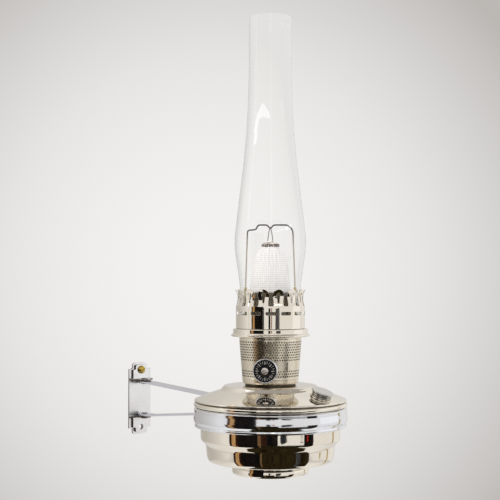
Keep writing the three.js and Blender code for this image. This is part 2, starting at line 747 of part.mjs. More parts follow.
function fontBowl() {
  const upperFootRadius = bowlRadius - bowlLipInset;
  const lowerTopRadius = upperFootRadius - ledgeRun;
  const lowerFootRadius = lowerTopRadius - lowerWallLean;
  const rimCrest = rimUnderside + rimHeight / 2;
  const outside = [
    [0, bowlFloor],
    ...bend([lowerFootRadius - bowlCornerRun, bowlFloor], [lowerFootRadius, bowlFloor],
      [lowerFootRadius, lowerWallFoot], 2),
    [lowerTopRadius, lowerWallTop],
    [upperFootRadius, upperWallFoot],
    [bowlRadius, upperWallFoot + bowlLipHeight],
    ...bend([bowlRadius, upperWallTop], [bowlRadius, rimUnderside],
      [bowlRadius + rimTurnHeight, rimUnderside], 1),
    ...bend([rimRadius - rimInset, rimUnderside], [rimRadius, rimUnderside], [rimRadius, rimCrest], 2),
    ...bend([rimRadius, rimCrest], [rimRadius, rimTop], [rimRadius - rimInset, rimTop], 2).slice(1),
  ];
  return piece('font_bowl', revolve(sheet(outside, fontWall), largeSides), 'nickel');
}

function fillerAxis(geometry) {
  return geometry.rotateX(shoulderSlope).translate(0, -fillerOffset, fillerLevel)
    .rotateZ(THREE.MathUtils.degToRad(fillerAzimuth));
}

function fontTop() {
  const edgeCrest = shoulderFoot + shoulderEdgeHeight / 2;
  const outside = [
    ...bend([shoulderEdgeRadius - rimInset, shoulderFoot], [shoulderEdgeRadius, shoulderFoot],
      [shoulderEdgeRadius, edgeCrest], 2),
    [shoulderEdgeRadius, shoulderLow],
    [shoulderTopRadius, shoulderTop],
    [domeShoulderRadius + domeSideRun / 4, shoulderTop + domeSideHeight / 4],
    ...bend([domeShoulderRadius, domeShoulderLevel], [domeShoulderRadius, platformLevel],
      [platformRadius, platformLevel], 3),
    [platformOpening, platformLevel],
  ];
  const holeReach = fillerNeckHeight + fillerNeckDepth;
  const hole = fillerAxis(rod(fillerNeckRadius + seatGap, 2 * holeReach, smallSides)
    .translate(0, 0, -holeReach));
  return piece('font_top', cut(revolve(sheet(outside, fontWall), largeSides), [hole]), 'nickel');
}

function filler() {
  const flangeRadius = fillerNeckRadius + fillerFlangeWidth;
  const neck = revolve([
    [fillerBore, -fillerNeckDepth], [fillerNeckRadius, -fillerNeckDepth], [fillerNeckRadius, seatGap],
    [flangeRadius, seatGap], [flangeRadius, seatGap + fillerFlangeHeight],
    [fillerNeckRadius, seatGap + fillerFlangeHeight], [fillerNeckRadius, fillerNeckHeight],
    [fillerBore, fillerNeckHeight],
  ], smallSides);
  const gasket = tube(fillerNeckRadius, fillerBore, gasketLevel, gasketLevel + gasketThickness, smallSides);
  const discRadius = capNeckRadius + capOverhang / 2;
  const capTop = capCeiling + capTopHeight;
  const cap = revolve([
    [0, capCeiling], [capBore, capCeiling], [capBore, capFoot], [capNeckRadius, capFoot],
    [capNeckRadius, capCeiling], [discRadius, capCeiling],
    ...bend([discRadius, capCeiling + capTopHeight / 2], [discRadius, capTop],
      [discRadius - capTopHeight / 2, capTop], 2),
    [0, capTop],
  ], 2 * capGripCount);
  const grip = rod(capGripDepth, capCeiling - capFoot, gripSides).translate(0, -capNeckRadius, capFoot);
  const grips = Array.from({ length: capGripCount }, (_, index) => (
    grip.clone().rotateZ(2 * Math.PI * index / capGripCount)));
  const holder = group([
    piece('filler_neck', neck, 'nickel'),
    piece('filler_gasket', gasket, 'rubber'),
    piece('filler_cap', cut(cap, grips), 'nickel'),
  ], 0, -fillerOffset, fillerLevel);
  holder.rotation.x = shoulderSlope;
  return group([holder], 0, 0, 0, fillerAzimuth);
}

// Burner shell
function burnerCollar() {
  return piece('burner_collar', revolve([
    [collarBore, platformLevel - collarDepth], [collarRadius, platformLevel - collarDepth],
    [collarRadius, collarFoot], [collarRadius + collarFlangeWidth, collarFoot],
    [collarRadius + collarFlangeWidth, collarTop], [collarBore, collarTop],
  ], innerSides), 'nickel');
}

function burnerBase() {
  const neckBore = burnerNeckRadius - burnerNeckWall;
  const tubeHole = outerTubeRadius + seatGap;
  const neckFoot = burnerFloorFoot - burnerNeckDepth;
  return piece('burner_base', revolve([
    [tubeHole, burnerFloorFoot], [neckBore, burnerFloorFoot], [neckBore, neckFoot],
    [burnerNeckRadius, neckFoot], [burnerNeckRadius, burnerFloorFoot],
    [burnerFloorRadius, burnerFloorFoot], [burnerFloorRadius, burnerFloor], [tubeHole, burnerFloor],
  ], innerSides), 'brass');
}

function basketRow(levelShare, turnShare) {
  const level = basketFoot + basketTurnHeight + levelShare * basketTaperHeight;
  const halfWidth = basketHoleWidth / 2;
  const halfHeight = basketHoleHeight / 2;
  const outline = shapeOf([[halfWidth, 0], [0, halfHeight], [-halfWidth, 0], [0, -halfHeight]]);
  const cutterFoot = basketBottomRadius - basketWall - overrun;
  const cutterLength = basketTopRadius + overrun - cutterFoot;
  const cutter = uprightSlab(outline, cutterLength).translate(0, -cutterFoot, level);
  return Array.from({ length: basketHoleCount }, (_, index) => (
    cutter.clone().rotateZ(2 * Math.PI * (index + turnShare) / basketHoleCount)));
}

function burnerBasket() {
  const outside = [
    [collarBore, basketFoot],
    ...bend([basketBottomRadius - basketTurnHeight, basketFoot], [basketBottomRadius, basketFoot],
      [basketBottomRadius, basketFoot + basketTurnHeight], 2),
    [basketTopRadius, basketTaperTop],
    [basketTopRadius, basketTop],
  ];
  const holes = [];
  for (let row = 0; row < basketUpperRows; row += 1) {
    holes.push(...basketRow(basketUpperRowsShare + row * basketRowStepShare, 0.5 + 0.5 * (row % 2)));
  }
  for (let row = 0; row < basketLowerRows; row += 1) {
    holes.push(...basketRow(basketLowerRowsShare + row * basketRowStepShare, 0.5 + 0.5 * (row % 2)));
  }
  const spindleHole = pointOutwards(rod(bushingRadius + seatGap, basketTopRadius, pinSides))
    .translate(0, -outerTubeRadius, spindleHeight);
  return piece('burner_basket', cut(revolve(sheet(outside, basketWall), basketHoleCount),
    [...holes, spindleHole]), 'nickel');
}

// Wick tubes and wick
function outerWickTube() {
  const bodyFoot = burnerFloorFoot - burnerNeckDepth;
  const body = tube(outerTubeRadius, outerTubeBore, bodyFoot, outerTubeHead, innerSides);
  const window = new THREE.BoxGeometry(
    2 * (ductHalfLength + overrun), ductWidth + 2 * seatGap, ductHeight + 2 * seatGap)
    .translate(0, 0, ductCentre);
  const lugTravel = rackLugHeight + wickTravelUp + wickTravelDown + 2 * seatGap;
  const lugTop = spindleHeight + rackAbove - rackLugDrop + wickTravelUp + seatGap;
  const slot = new THREE.BoxGeometry(rackBackWidth + 2 * seatGap, outerTubeRadius, lugTravel)
    .translate(-rackCentre(), -outerTubeRadius, lugTop - lugTravel / 2);
  return piece('outer_wick_tube', cut(body, [window, slot]), 'brass');
}

function innerWickTube() {
  const body = revolve([
    [0, innerTubeFoot], [innerTubeRadius, innerTubeFoot], [innerTubeRadius, outerTubeHead],
    [0, outerTubeHead],
  ], smallSides);
  const duct = new THREE.BoxGeometry(2 * ductHalfLength, ductWidth, ductHeight).translate(0, 0, ductCentre);
  const ductBore = new THREE.BoxGeometry(
    2 * (ductHalfLength + overrun), ductWidth - 2 * ductWall, ductHeight - 2 * ductWall)
    .translate(0, 0, ductCentre);
  const floor = innerTubeFoot + innerTubeWall;
  const bore = rod(innerTubeBore, outerTubeHead - floor + overrun, smallSides).translate(0, 0, floor);
  return piece('inner_wick_tube', cut(join(body, [duct]), [ductBore, bore]), 'brass');
}

function wick() {
  const foot = bowlFloor + fontWall + wickTailClearance;
  const body = tube(wickRadius, wickBore, foot, outerTubeHead + wickRise, smallSides);
  const notchTop = ductCentre + ductHeight / 2 + wickNotchClearance;
  const notchHeight = notchTop - foot + overrun;
  const notch = new THREE.BoxGeometry(2 * ductHalfLength, ductWidth + 4 * seatGap, notchHeight)
    .translate(0, 0, notchTop - notchHeight / 2);
  const tails = cut(body, [notch]);
  return piece('wick', tails, 'cotton');
}

// Raiser: the rack stands beside the pinion and lifts the carrier through the tube's slot
function rackCentre() {
  return pinionRadius + toothDepth + rackBackWidth / 2;
}

function rackShape() {
  const foot = -rackBelow;
  const rootLine = -pinionRadius - toothDepth;
  const tipLine = -pinionRadius + toothRise;
  const back = rootLine - rackBackWidth;
  const halfRoot = toothPitch * (toothWidthShare / 2 + toothFlankShare * toothDepth / toothRise);
  const halfTip = toothPitch * (toothWidthShare / 2 - toothFlankShare);
  const teeth = [];
  const first = Math.ceil((foot + halfRoot) / toothPitch - 0.5);
  const last = Math.floor((rackAbove - halfRoot) / toothPitch - 0.5);
  for (let index = first; index <= last; index += 1) {
    const middle = (index + 0.5) * toothPitch;
    teeth.push([rootLine, middle - halfRoot], [tipLine, middle - halfTip],
      [tipLine, middle + halfTip], [rootLine, middle + halfRoot]);
  }
  return shapeOf([[back, foot], [rootLine, foot], ...teeth, [rootLine, rackAbove], [back, rackAbove]]);
}

function wickCarrier() {
  const sleeve = tube(carrierRadius, carrierBore, carrierFoot, carrierFoot + carrierHeight, smallSides);
  const rackFace = pinionOffset - pinionWidth / 2;
  const rack = uprightSlab(rackShape(), pinionWidth).translate(0, -rackFace, spindleHeight);
  const lugInner = carrierBore - overrun;
  const lugDepth = rackFace + pinionWidth / 2 - lugInner;
  const lug = new THREE.BoxGeometry(rackBackWidth, lugDepth, rackLugHeight).translate(
    -rackCentre(), -lugInner - lugDepth / 2, spindleHeight + rackAbove - rackLugDrop - rackLugHeight / 2);
  const wickSpace = rod(carrierBore, 2 * carrierHeight, smallSides)
    .translate(0, 0, carrierFoot - carrierHeight / 2);
  return piece('wick_carrier', cut(join(sleeve, [rack, lug]), [wickSpace]), 'brass');
}

function pinion() {
  const rootRadius = pinionRadius - toothDepth;
  const tipRadius = pinionRadius + toothRise;
  const points = [];
  for (let index = 0; index < pinionTeeth; index += 1) {
    const middle = 2 * Math.PI * index / pinionTeeth;
    const turn = 2 * Math.PI / pinionTeeth;
    const halfRoot = turn * (toothWidthShare / 2 + toothFlankShare * toothDepth / toothRise);
    const halfTip = turn * (toothWidthShare / 2 - toothFlankShare) * pinionRadius / tipRadius;
    for (const [radius, angle] of [[rootRadius, -halfRoot], [tipRadius, -halfTip],
      [tipRadius, halfTip], [rootRadius, halfRoot]]) {
      points.push([radius * Math.cos(middle + angle), radius * Math.sin(middle + angle)]);
    }
  }
  const outline = shapeOf(points, [circle(spindleTipRadius + seatGap)]);
  return piece('wick_gear', uprightSlab(outline, pinionWidth, 4), 'brass');
}

function spindleParts() {
  const gear = pinion();
  gear.position.set(0, -pinionOffset + pinionWidth / 2, 0);
  const tipEnd = pinionOffset - pinionWidth / 2;
  const stepStart = pinionOffset + pinionWidth / 2 + seatGap;
  const screwDepth = knobScrewLength + seatGap;
  const spindleEnd = knobBack + knobScrewLevel - seatGap - knobFaceThickness - seatGap;
  const screwHole = knobScrewShankRadius + seatGap;
  const spindle = pointOutwards(revolve([
    [0, tipEnd], [spindleTipRadius, tipEnd], [spindleTipRadius, stepStart], [spindleRadius, stepStart],
    [spindleRadius, spindleEnd], [screwHole, spindleEnd], [screwHole, spindleEnd - screwDepth],
    [0, spindleEnd - screwDepth],
  ], smallSides));
  const knobTop = knobHubHeight + knobRimHeight;
  const knob = pointOutwards(revolve([
    [bushingBore, 0], [knobHubRadius, 0], [knobHubRadius, knobHubHeight],
    ...bend([knobRadius - knobEdgeRadius, knobHubHeight], [knobRadius, knobHubHeight],
      [knobRadius, knobHubHeight + knobEdgeRadius], 2),
    ...bend([knobRadius, knobTop - knobEdgeRadius / 2], [knobRadius, knobTop],
      [knobRadius - knobEdgeRadius / 2, knobTop], 2),
    [knobFaceRadius + seatGap, knobTop], [knobFaceRadius + seatGap, knobTop - knobRecess],
    [bushingBore, knobTop - knobRecess],
  ], innerSides).translate(0, 0, knobBack));
  const face = pointOutwards(tube(knobFaceRadius, screwHole, knobFaceLevel,
    knobFaceLevel + knobFaceThickness, innerSides).translate(0, 0, knobBack));
  const headTop = knobScrewLevel + knobScrewHeadHeight;
  const slot = new THREE.BoxGeometry(2 * knobScrewRadius + overrun, screwSlotWidth / 2, screwSlotWidth)
    .translate(0, 0, headTop);
  const screw = pointOutwards(cut(revolve([
    [0, knobScrewLevel - knobScrewLength], [knobScrewShankRadius, knobScrewLevel - knobScrewLength],
    [knobScrewShankRadius, knobScrewLevel], [knobScrewRadius, knobScrewLevel],
    ...bend([knobScrewRadius, knobScrewLevel + knobScrewHeadHeight / 2], [knobScrewRadius, headTop],
      [knobScrewRadius / 2, headTop], 2),
    [0, headTop],
  ], smallSides), [slot]).translate(0, 0, knobBack));
  return group([
    gear,
    piece('knob_spindle', spindle, 'brass'),
    piece('wick_knob', knob, 'chrome'),
    piece('knob_face', face, 'enamel'),
    piece('knob_screw', screw, 'chrome'),
  ], 0, 0, spindleHeight);
}

function spindleBushing() {
  const inner = bushingFace - bushingLength;
  const flangeBack = bushingFace - bushingFlangeHeight;
  const mesh = piece('spindle_bushing', pointOutwards(revolve([
    [bushingBore, inner], [bushingRadius, inner], [bushingRadius, flangeBack],
    [bushingFlangeRadius, flangeBack], [bushingFlangeRadius, bushingFace], [bushingBore, bushingFace],
  ], smallSides)), 'brass');
  mesh.position.z = spindleHeight;
  return mesh;
}

function flameSpreader() {
  const stemRadius = innerTubeBore - seatGap;
  const seat = outerTubeHead + seatGap;
  const domeFoot = seat + spreaderBodyHeight;
  const outside = [
    [stemRadius, seat - spreaderStemHeight], [stemRadius, seat], [innerTubeRadius, seat],
    ...bend([innerTubeRadius, domeFoot], [innerTubeRadius, domeFoot + spreaderDomeHeight],
      [0, domeFoot + spreaderDomeHeight], 3),
  ];
  return piece('flame_spreader', revolve(sheet(outside, spreaderWall), smallSides), 'steel');
}

function burner() {
  return group([
    burnerBase(), burnerBasket(), outerWickTube(), innerWickTube(), wick(), wickCarrier(),
    spindleParts(), spindleBushing(), flameSpreader(),
  ], 0, 0, 0, knobAzimuth);
}

// Gallery
function gallery() {
  const lipTop = galleryLipFoot + galleryLipHeight;
  const bandFoot = lipTop + galleryStepRise;
  const mouth = basketTopRadius + 2 * seatGap;
  const outside = [
    [mouth, galleryLipFoot],
    [galleryLipRadius - galleryEdge, galleryLipFoot],
    [galleryLipRadius, galleryLipFoot + galleryEdge],
    [galleryLipRadius - galleryEdge / 2, lipTop],
    [galleryStepRadius, bandFoot],
    [galleryStepRadius, galleryLedge],
    [galleryMouthRadius, galleryLedge],
  ];
  return piece('gallery', revolve(sheet(outside, galleryWall), mediumSides), 'nickel');
}

// Crown: a revolved wall, cut through all round by slots, petal notches and keyholes
function petalNotch() {
  const pitch = 2 * Math.PI * crownWaistRadius / crownPetals;
  const halfWaist = pitch * petalNotchWidthShare / 2;
  const halfMouth = pitch * petalMouthWidthShare / 2;
  const floor = petalNotchBottom;
  const middle = (petalNotchBottom + crownHeight) / 2;
  const right = [
    ...bend([0, floor], [halfWaist, floor], [halfWaist, middle - halfWaist / 2], 2),
    ...bend([halfWaist, middle], [halfMouth / 2, middle + halfWaist],
      [halfMouth / 2, crownHeight - halfMouth], 2),
    [halfMouth, crownHeight + overrun],
  ];
  return shapeOf([...right, ...right.slice(1).map(([x, z]) => [-x, z]).reverse()]);
}

function petalKeyhole() {
  const top = crownHeight - petalHoleMargin;
  const headRadius = petalHoleWidth / 2;
  const headCentre = top - headRadius;
  const tailRadius = petalHoleTailWidth / 2;
  const tailCentre = top - petalHoleHeight + tailRadius;
  return shapeOf([
    ...arc(headRadius, -50, 230, 4, 0, headCentre),
    ...arc(tailRadius, 180, 360, 2, 0, tailCentre),
  ]);
}

function crownSlot() {
  const halfWidth = crownSlotWidth / 2;
  const halfHeight = crownSlotHeight / 2;
  const end = halfWidth - halfHeight;
  return shapeOf([
    [end, crownSlotLevel - halfHeight], [halfWidth, crownSlotLevel], [end, crownSlotLevel + halfHeight],
    [-end, crownSlotLevel + halfHeight], [-halfWidth, crownSlotLevel], [-end, crownSlotLevel - halfHeight],
  ]);
}

function crownCutters(shape, turnShare) {
  const inner = chimneyRadius / 2;
  return Array.from({ length: crownPetals }, (_, index) => uprightSlab(shape, crownTipRadius)
    .translate(0, -inner, 0).rotateZ(2 * Math.PI * (index + turnShare) / crownPetals));
}

function galleryCrown() {
  const flare = smooth([
    [crownRadius, crownWallHeight], [crownWaistRadius, crownWaistHeight], [crownTipRadius, crownHeight],
  ], 4);
  const wall = revolve(sheet([[crownRadius, 0], ...flare], crownWall), 2 * crownPetals);
  const cutters = [
    ...crownCutters(crownSlot(), 0),
    ...crownCutters(petalNotch(), 0),
    ...crownCutters(petalKeyhole(), 0.5),
  ];
  const mesh = piece('gallery_crown', cut(wall, cutters), 'nickel');
  mesh.position.z = crownFoot;
  mesh.rotation.z = THREE.MathUtils.degToRad(crownAzimuth);
  return mesh;
}

// Mantle and its frame
function mantleBase() {
  const outside = [
    [mantleBaseRadius, mantleBaseTop], [mantleConeFootRadius, mantleBaseTop],
    [mantleConeRadius, mantleBaseTop + mantleConeHeight], [mantleConeRadius, mantleNeckTop],
  ];
  return piece('mantle_base', revolve(sheet(outside, mantleBaseWall), innerSides), 'steel');
}

function mantlePost(name, side) {
  const mesh = piece(name, rod(postRadius, postHeight), 'brass');
  mesh.position.set(side * postOffset, 0, postFoot);
  return mesh;
}

function mantleWire() {
  const corner = 2 * wireRadius;
  const route = [
    [-postOffset, 0, wireFoot],
    [-wireShoulderOffset, 0, wireShoulderLevel - 2 * corner],
    [-wireShoulderOffset + corner / 3, 0, wireShoulderLevel - corner / 3],
    [-wireShoulderOffset + 2 * corner, 0, wireShoulderLevel],
    [-wireBarLeft - wireBarSlant - corner, 0, wireShoulderLevel],
    [-wireBarLeft - wireBarSlant / 2, 0, (wireShoulderLevel + wireBarLevel) / 2],
    [-wireBarLeft + corner, 0, wireBarLevel],
    [-wireNotchHalfWidth - corner / 2, 0, wireBarLevel],
    [0, 0, wireNotchLevel],
    [wireNotchHalfWidth + corner / 2, 0, wireBarLevel],
    [wireBarRight - corner, 0, wireBarLevel],
    [wireBarRight + wireBarSlant / 2, 0, (wireShoulderLevel + wireBarLevel) / 2],
    [wireShoulderOffset - corner / 3, 0, wireShoulderLevel - corner],
    [wireShoulderOffset, 0, wireShoulderLevel - 3 * corner],
    [postOffset, 0, wireFoot],
  ];
  return piece('mantle_wire', wireAlong(route, wireRadius, wireSides, wireSteps), 'steel');
}

// The cord rises in front of the wire, crosses over its notch and falls behind it.
function mantleCord() {
  const clear = wireRadius + cordRadius + seatGap;
  const route = [
    [-cordFootOffset, 0, cordFoot],
    [-cordFootOffset / 3, -clear, (cordFoot + wireNotchLevel) / 2],
    [0, -clear, wireNotchLevel],
    [0, 0, wireNotchLevel + clear + wireRadius],
    [0, clear, wireNotchLevel],
    [cordFootOffset / 3, clear, (cordFoot + wireNotchLevel) / 2],
    [cordFootOffset, 0, cordFoot],
  ];
  return piece('mantle_cord', wireAlong(route, cordRadius, cordSides, cordSteps), 'thread');
}

function mantleGather() {
  return piece('mantle_gather', revolve([
    [0, gatherFoot], [gatherRadius - cordRadius, gatherFoot], [gatherRadius, gatherFoot + gatherHeight / 4],
    [gatherRadius - cordRadius, gatherTop], [gatherKnotRadius, gatherTop],
    [gatherKnotRadius - cordRadius, gatherTop + gatherKnotHeight], [0, gatherTop + gatherKnotHeight],
  ], smallSides), 'thread');
}

// The knit falls into upright folds where it is drawn together.
function drawIntoFolds(geometry) {
  const { position } = geometry.attributes;
  for (let index = 0; index < position.count; index += 1) {
    const angle = Math.atan2(position.getY(index), position.getX(index));
    const rise = THREE.MathUtils.smoothstep(position.getZ(index), foldFoot, mantleTop);
    const swell = 1 + mantleFoldShare * rise * Math.cos(mantleFolds * angle);
    position.setXY(index, swell * position.getX(index), swell * position.getY(index));
  }
  return geometry;
}

function mantle() {
  const side = mantleProfileShares.map(([radius, level]) => [
    radius * mantleRadius, mantleFoot + level * mantleHeight]);
  const tubeOfKnit = revolve(sheet([...side, [0, mantleTop]], mantleThickness), 2 * mantleFolds);
  return piece('mantle', drawIntoFolds(tubeOfKnit), 'knit');
}

function mantleParts() {
  return group([
    mantleBase(),
    mantlePost('mantle_post_left', -1),
    mantlePost('mantle_post_right', 1),
    mantleWire(),
    mantleCord(),
    mantleGather(),
    mantle(),
  ], 0, 0, 0, frameAzimuth);
}

// Chimney
function chimney() {
  const profile = chimneyProfileShares.map(([radius, level]) => [
    radius * chimneyRadius, chimneyFoot + level * chimneyLength]);
  return piece('chimney', revolve(sheet(smooth(profile, chimneySteps), chimneyWall), chimneySides), 'glass');
}

function lamp() {
  return group([
    fontFoot(), fontBowl(), fontTop(), filler(), burnerCollar(), burner(), gallery(), galleryCrown(),
    mantleParts(), chimney(),
  ], 0, -pivotReach - armReach, fontLevel);
}

const wallBracketLamp = group([bracket(), arm(), lamp()]);

export default wallBracketLamp;
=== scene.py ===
"""Looks of the wall bracket oil lamp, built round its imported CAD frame.

Pieces are drawn in millimetres and turned into metres as their meshes are made. Cards, lights and
the floor are in metres. A lamp level is a height above the underside of the font's foot.
"""

import math
from types import SimpleNamespace

import bmesh
import bpy
from mathutils import Matrix, Vector
from mathutils.geometry import delaunay_2d_cdt


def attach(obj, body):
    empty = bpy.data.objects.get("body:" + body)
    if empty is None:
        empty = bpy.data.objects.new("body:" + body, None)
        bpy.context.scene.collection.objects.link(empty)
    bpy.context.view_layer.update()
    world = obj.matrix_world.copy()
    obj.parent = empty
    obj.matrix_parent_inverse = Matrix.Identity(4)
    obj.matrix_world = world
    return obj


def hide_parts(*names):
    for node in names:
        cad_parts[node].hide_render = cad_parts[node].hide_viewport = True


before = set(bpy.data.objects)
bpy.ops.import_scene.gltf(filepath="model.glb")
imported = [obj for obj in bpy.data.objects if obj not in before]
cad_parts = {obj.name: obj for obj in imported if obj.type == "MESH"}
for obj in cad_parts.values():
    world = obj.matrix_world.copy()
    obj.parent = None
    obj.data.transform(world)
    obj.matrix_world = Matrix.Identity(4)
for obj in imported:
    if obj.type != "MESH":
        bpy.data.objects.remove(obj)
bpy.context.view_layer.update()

MM = 0.001
FULL_TURN = 2 * math.pi
TINY = 1e-6
FINE_SIDES, ROUND_SIDES, SMALL_SIDES = 192, 96, 48
CREASE = 32

# Places of the main axes
LAMP_REACH = 212
FONT_LEVEL = -61.4
PIVOT_REACH = 10
FRAME_AZIMUTH = -45
KNOB_AZIMUTH = -53
SPINDLE_LEVEL = 107
KNOB_BACK = 33.9
FILLER_AZIMUTH = 5
FILLER_OFFSET = 64
FILLER_LEVEL = 80.43
FILLER_TILT = 20.25

# Camera
CAMERA_PLACE = (-0.8089, -0.9913, 0.1275)
CAMERA_HEADING = 45
CAMERA_PITCH = 2
CAMERA_LENS = 78.5
SENSOR_WIDTH = 36
CAMERA_BEARING = math.atan2(CAMERA_PLACE[1] + LAMP_REACH * MM, CAMERA_PLACE[0])


def turned(degrees, axis):
    return Matrix.Rotation(math.radians(degrees), 4, axis)


def moved(x, y, z):
    return Matrix.Translation((x * MM, y * MM, z * MM))


WALL = Matrix.Identity(4)
BAND_AXIS = moved(0, -LAMP_REACH, 0)
LAMP = moved(0, -LAMP_REACH, FONT_LEVEL)
MANTLE_FRAME = LAMP @ turned(FRAME_AZIMUTH, "Z")
SPINDLE = LAMP @ turned(KNOB_AZIMUTH, "Z") @ moved(0, 0, SPINDLE_LEVEL) @ turned(90, "X")
KNOB = SPINDLE @ moved(0, 0, KNOB_BACK)
FILLER = (LAMP @ turned(FILLER_AZIMUTH, "Z") @ moved(0, -FILLER_OFFSET, FILLER_LEVEL)
          @ turned(FILLER_TILT, "X"))


# Shader helpers: a tree is found from the socket or the node at hand
def assign(thing, **settings):
    for name, value in settings.items():
        setattr(thing, name, value)
    return thing


def feed(node, inputs):
    """Gives a node its inputs, as values or as sockets to link from."""
    for name, value in inputs.items():
        if isinstance(value, bpy.types.NodeSocket):
            node.id_data.links.new(value, node.inputs[name])
        else:
            node.inputs[name].default_value = value


def add(tree, kind, inputs=None, **settings):
    node = assign(tree.nodes.new(kind), **settings)
    feed(node, inputs or {})
    return node


def maths(operation, first, second=0):
    node = add(first.id_data, "ShaderNodeMath", {0: first, 1: second}, operation=operation)
    return node.outputs[0]


def spread(value, low, high, start=0, end=1):
    """A value from low to high as the given one goes from start to end."""
    return add(value.id_data, "ShaderNodeMapRange", {
        0: value, 1: start, 2: end, 3: low, 4: high}).outputs["Result"]


def mixed(share, *colours, blend_type="MIX"):
    """A blend of two colours, each given as a socket or as red, green and blue."""
    first, second = (colour if isinstance(colour, bpy.types.NodeSocket) else (*colour, 1)
                     for colour in colours)
    return add(share.id_data, "ShaderNodeMix", {0: share, 6: first, 7: second},
               data_type="RGBA", blend_type=blend_type).outputs[2]


def place(tree):
    return add(tree, "ShaderNodeTexCoord").outputs["Object"]


def axes(tree):
    return add(tree, "ShaderNodeSeparateXYZ", {0: place(tree)}).outputs


def noise_of(tree, scale, detail=3, roughness=0.5):
    return add(tree, "ShaderNodeTexNoise", {
        "Vector": place(tree), "Scale": scale, "Detail": detail, "Roughness": roughness}).outputs[0]


def bump(source, strength, distance):
    return add(source.id_data, "ShaderNodeBump", {
        "Height": source, "Strength": strength, "Distance": distance}).outputs[0]


# Finishes: each adds its nodes to the tree, and gives the shader's inputs
def metal(tree, colour, dull, gloss, wear):
    """Polished metal: soft clouds in its colour and gloss, and a fine grain of hairlines."""
    clouds = noise_of(tree, 38, 4, 0.6)
    grain = noise_of(tree, 1600, 2)
    both = maths("ADD", maths("MULTIPLY", clouds, 0.6), maths("MULTIPLY", grain, 0.4))
    return {"Base Color": mixed(spread(clouds, 0, 0.5 * wear, 0.35, 0.75), colour, dull),
            "Metallic": 1, "Roughness": spread(both, *gloss, 0.3, 0.7),
            "Normal": bump(grain, 0.02, 0.0002)}


def gloss_paint(tree, colour, shade):
    grain = noise_of(tree, 900)
    return {"Base Color": mixed(grain, colour, shade), "Specular IOR Level": 0.22,
            "Roughness": spread(grain, 0.22, 0.42), "Normal": bump(grain, 0.08, 0.0002)}


def plaster(tree, colour, shade):
    return {"Base Color": mixed(noise_of(tree, 3, 4), colour, shade), "Roughness": 0.9}


def soft(tree, colour, shade, scale, ends=(0.3, 0.7)):
    """Matt stuff whose fibres or grains show the shade where the noise is between the ends."""
    fibres = noise_of(tree, scale, 5, 0.65)
    return {"Base Color": mixed(spread(fibres, 0, 1, *ends), colour, shade),
            "Roughness": spread(fibres, 0.75, 0.95), "Normal": bump(fibres, 0.4, 0.0003)}


def round_grid(tree, columns, row_height):
    """Two waves on a turned piece: one counts columns round the axis, the other rows up it."""
    x, y, z = axes(tree)
    column = maths("SINE", maths("MULTIPLY", maths("ARCTAN2", y, x), columns))
    return column, maths("SINE", maths("MULTIPLY", z, FULL_TURN / (row_height * MM)))


def knit(tree, colour, shade, scorch, hem):
    """Ribbed knit, thin enough to let the light through, with its lowest rows scorched."""
    column, row = round_grid(tree, 64, 1.9)
    loops = maths("MULTIPLY", spread(column, 0.25, 1, -1), spread(row, 0.2, 1, -1))
    wear = noise_of(tree, 160, 4)
    ragged = maths("ADD", axes(tree)["Z"], spread(wear, -0.0006, 0.0006))
    scorched = spread(ragged, 1, 0, (hem - 1) * MM, (hem + 1) * MM)
    cloth = mixed(spread(loops, 0, 1, 0.1, 0.8), colour, shade)
    return {"Base Color": mixed(scorched, cloth, scorch), "Sheen Weight": 0.3,
            "Alpha": spread(loops, 0.8, 1, 0.05, 0.45), "Roughness": spread(wear, 0.8, 1),
            "Normal": bump(loops, 0.3, 0.0004)}


def woven(tree, dark, light, columns, row_height):
    """Woven cotton: a fine chequer of warp and weft."""
    cross = maths("MULTIPLY", *round_grid(tree, columns, row_height))
    return {"Base Color": mixed(spread(cross, 0, 1, -1), dark, light),
            "Roughness": spread(noise_of(tree, 700), 0.85, 1), "Normal": bump(cross, 0.5, 0.0003)}


def glass(tree, colour):
    """Clear lamp glass: lamps reach what stands in it, and faint waves move its reflections."""
    path = add(tree, "ShaderNodeLightPath").outputs
    joined = add(tree, "ShaderNodeMixShader", {
        0: maths("MAXIMUM", path["Is Shadow Ray"], path["Is Diffuse Ray"]),
        1: tree.nodes["Principled BSDF"].outputs[0],
        2: add(tree, "ShaderNodeBsdfTransparent").outputs[0]})
    feed(tree.nodes["Material Output"], {"Surface": joined.outputs[0]})
    return {"Base Color": (*colour, 1), "Transmission Weight": 1, "IOR": 1.45,
            "Roughness": spread(noise_of(tree, 55), 0, 0.012, 0.45, 0.8),
            "Normal": bump(noise_of(tree, 22, 1), 0.02, 0.0006)}


def heated_wire(tree, bright, burnt, foot, top):
    """Steel wire, bright at its feet and blued brown and black where it bridges the flame."""
    patches = maths("MULTIPLY", noise_of(tree, 260), 0.3)
    heat = maths("ADD", spread(axes(tree)["Z"], 0, 0.85, foot * MM, top * MM), patches)
    return {"Base Color": mixed(heat, bright, burnt), "Metallic": 1,
            "Roughness": spread(heat, 0.3, 0.6)}


def emitter(tree, colour, shade, strength=1):
    blend = mixed(spread(noise_of(tree, 9), 0, 1, 0.35, 0.65), colour, shade)
    glow = add(tree, "ShaderNodeEmission", {"Color": blend, "Strength": strength})
    feed(tree.nodes["Material Output"], {"Surface": glow.outputs[0]})
    return {}


def new_material(name, finish, *values):
    material = assign(bpy.data.materials.new(name), use_nodes=True)
    tree = material.node_tree
    feed(tree.nodes["Principled BSDF"], finish(tree, *values))
    return material


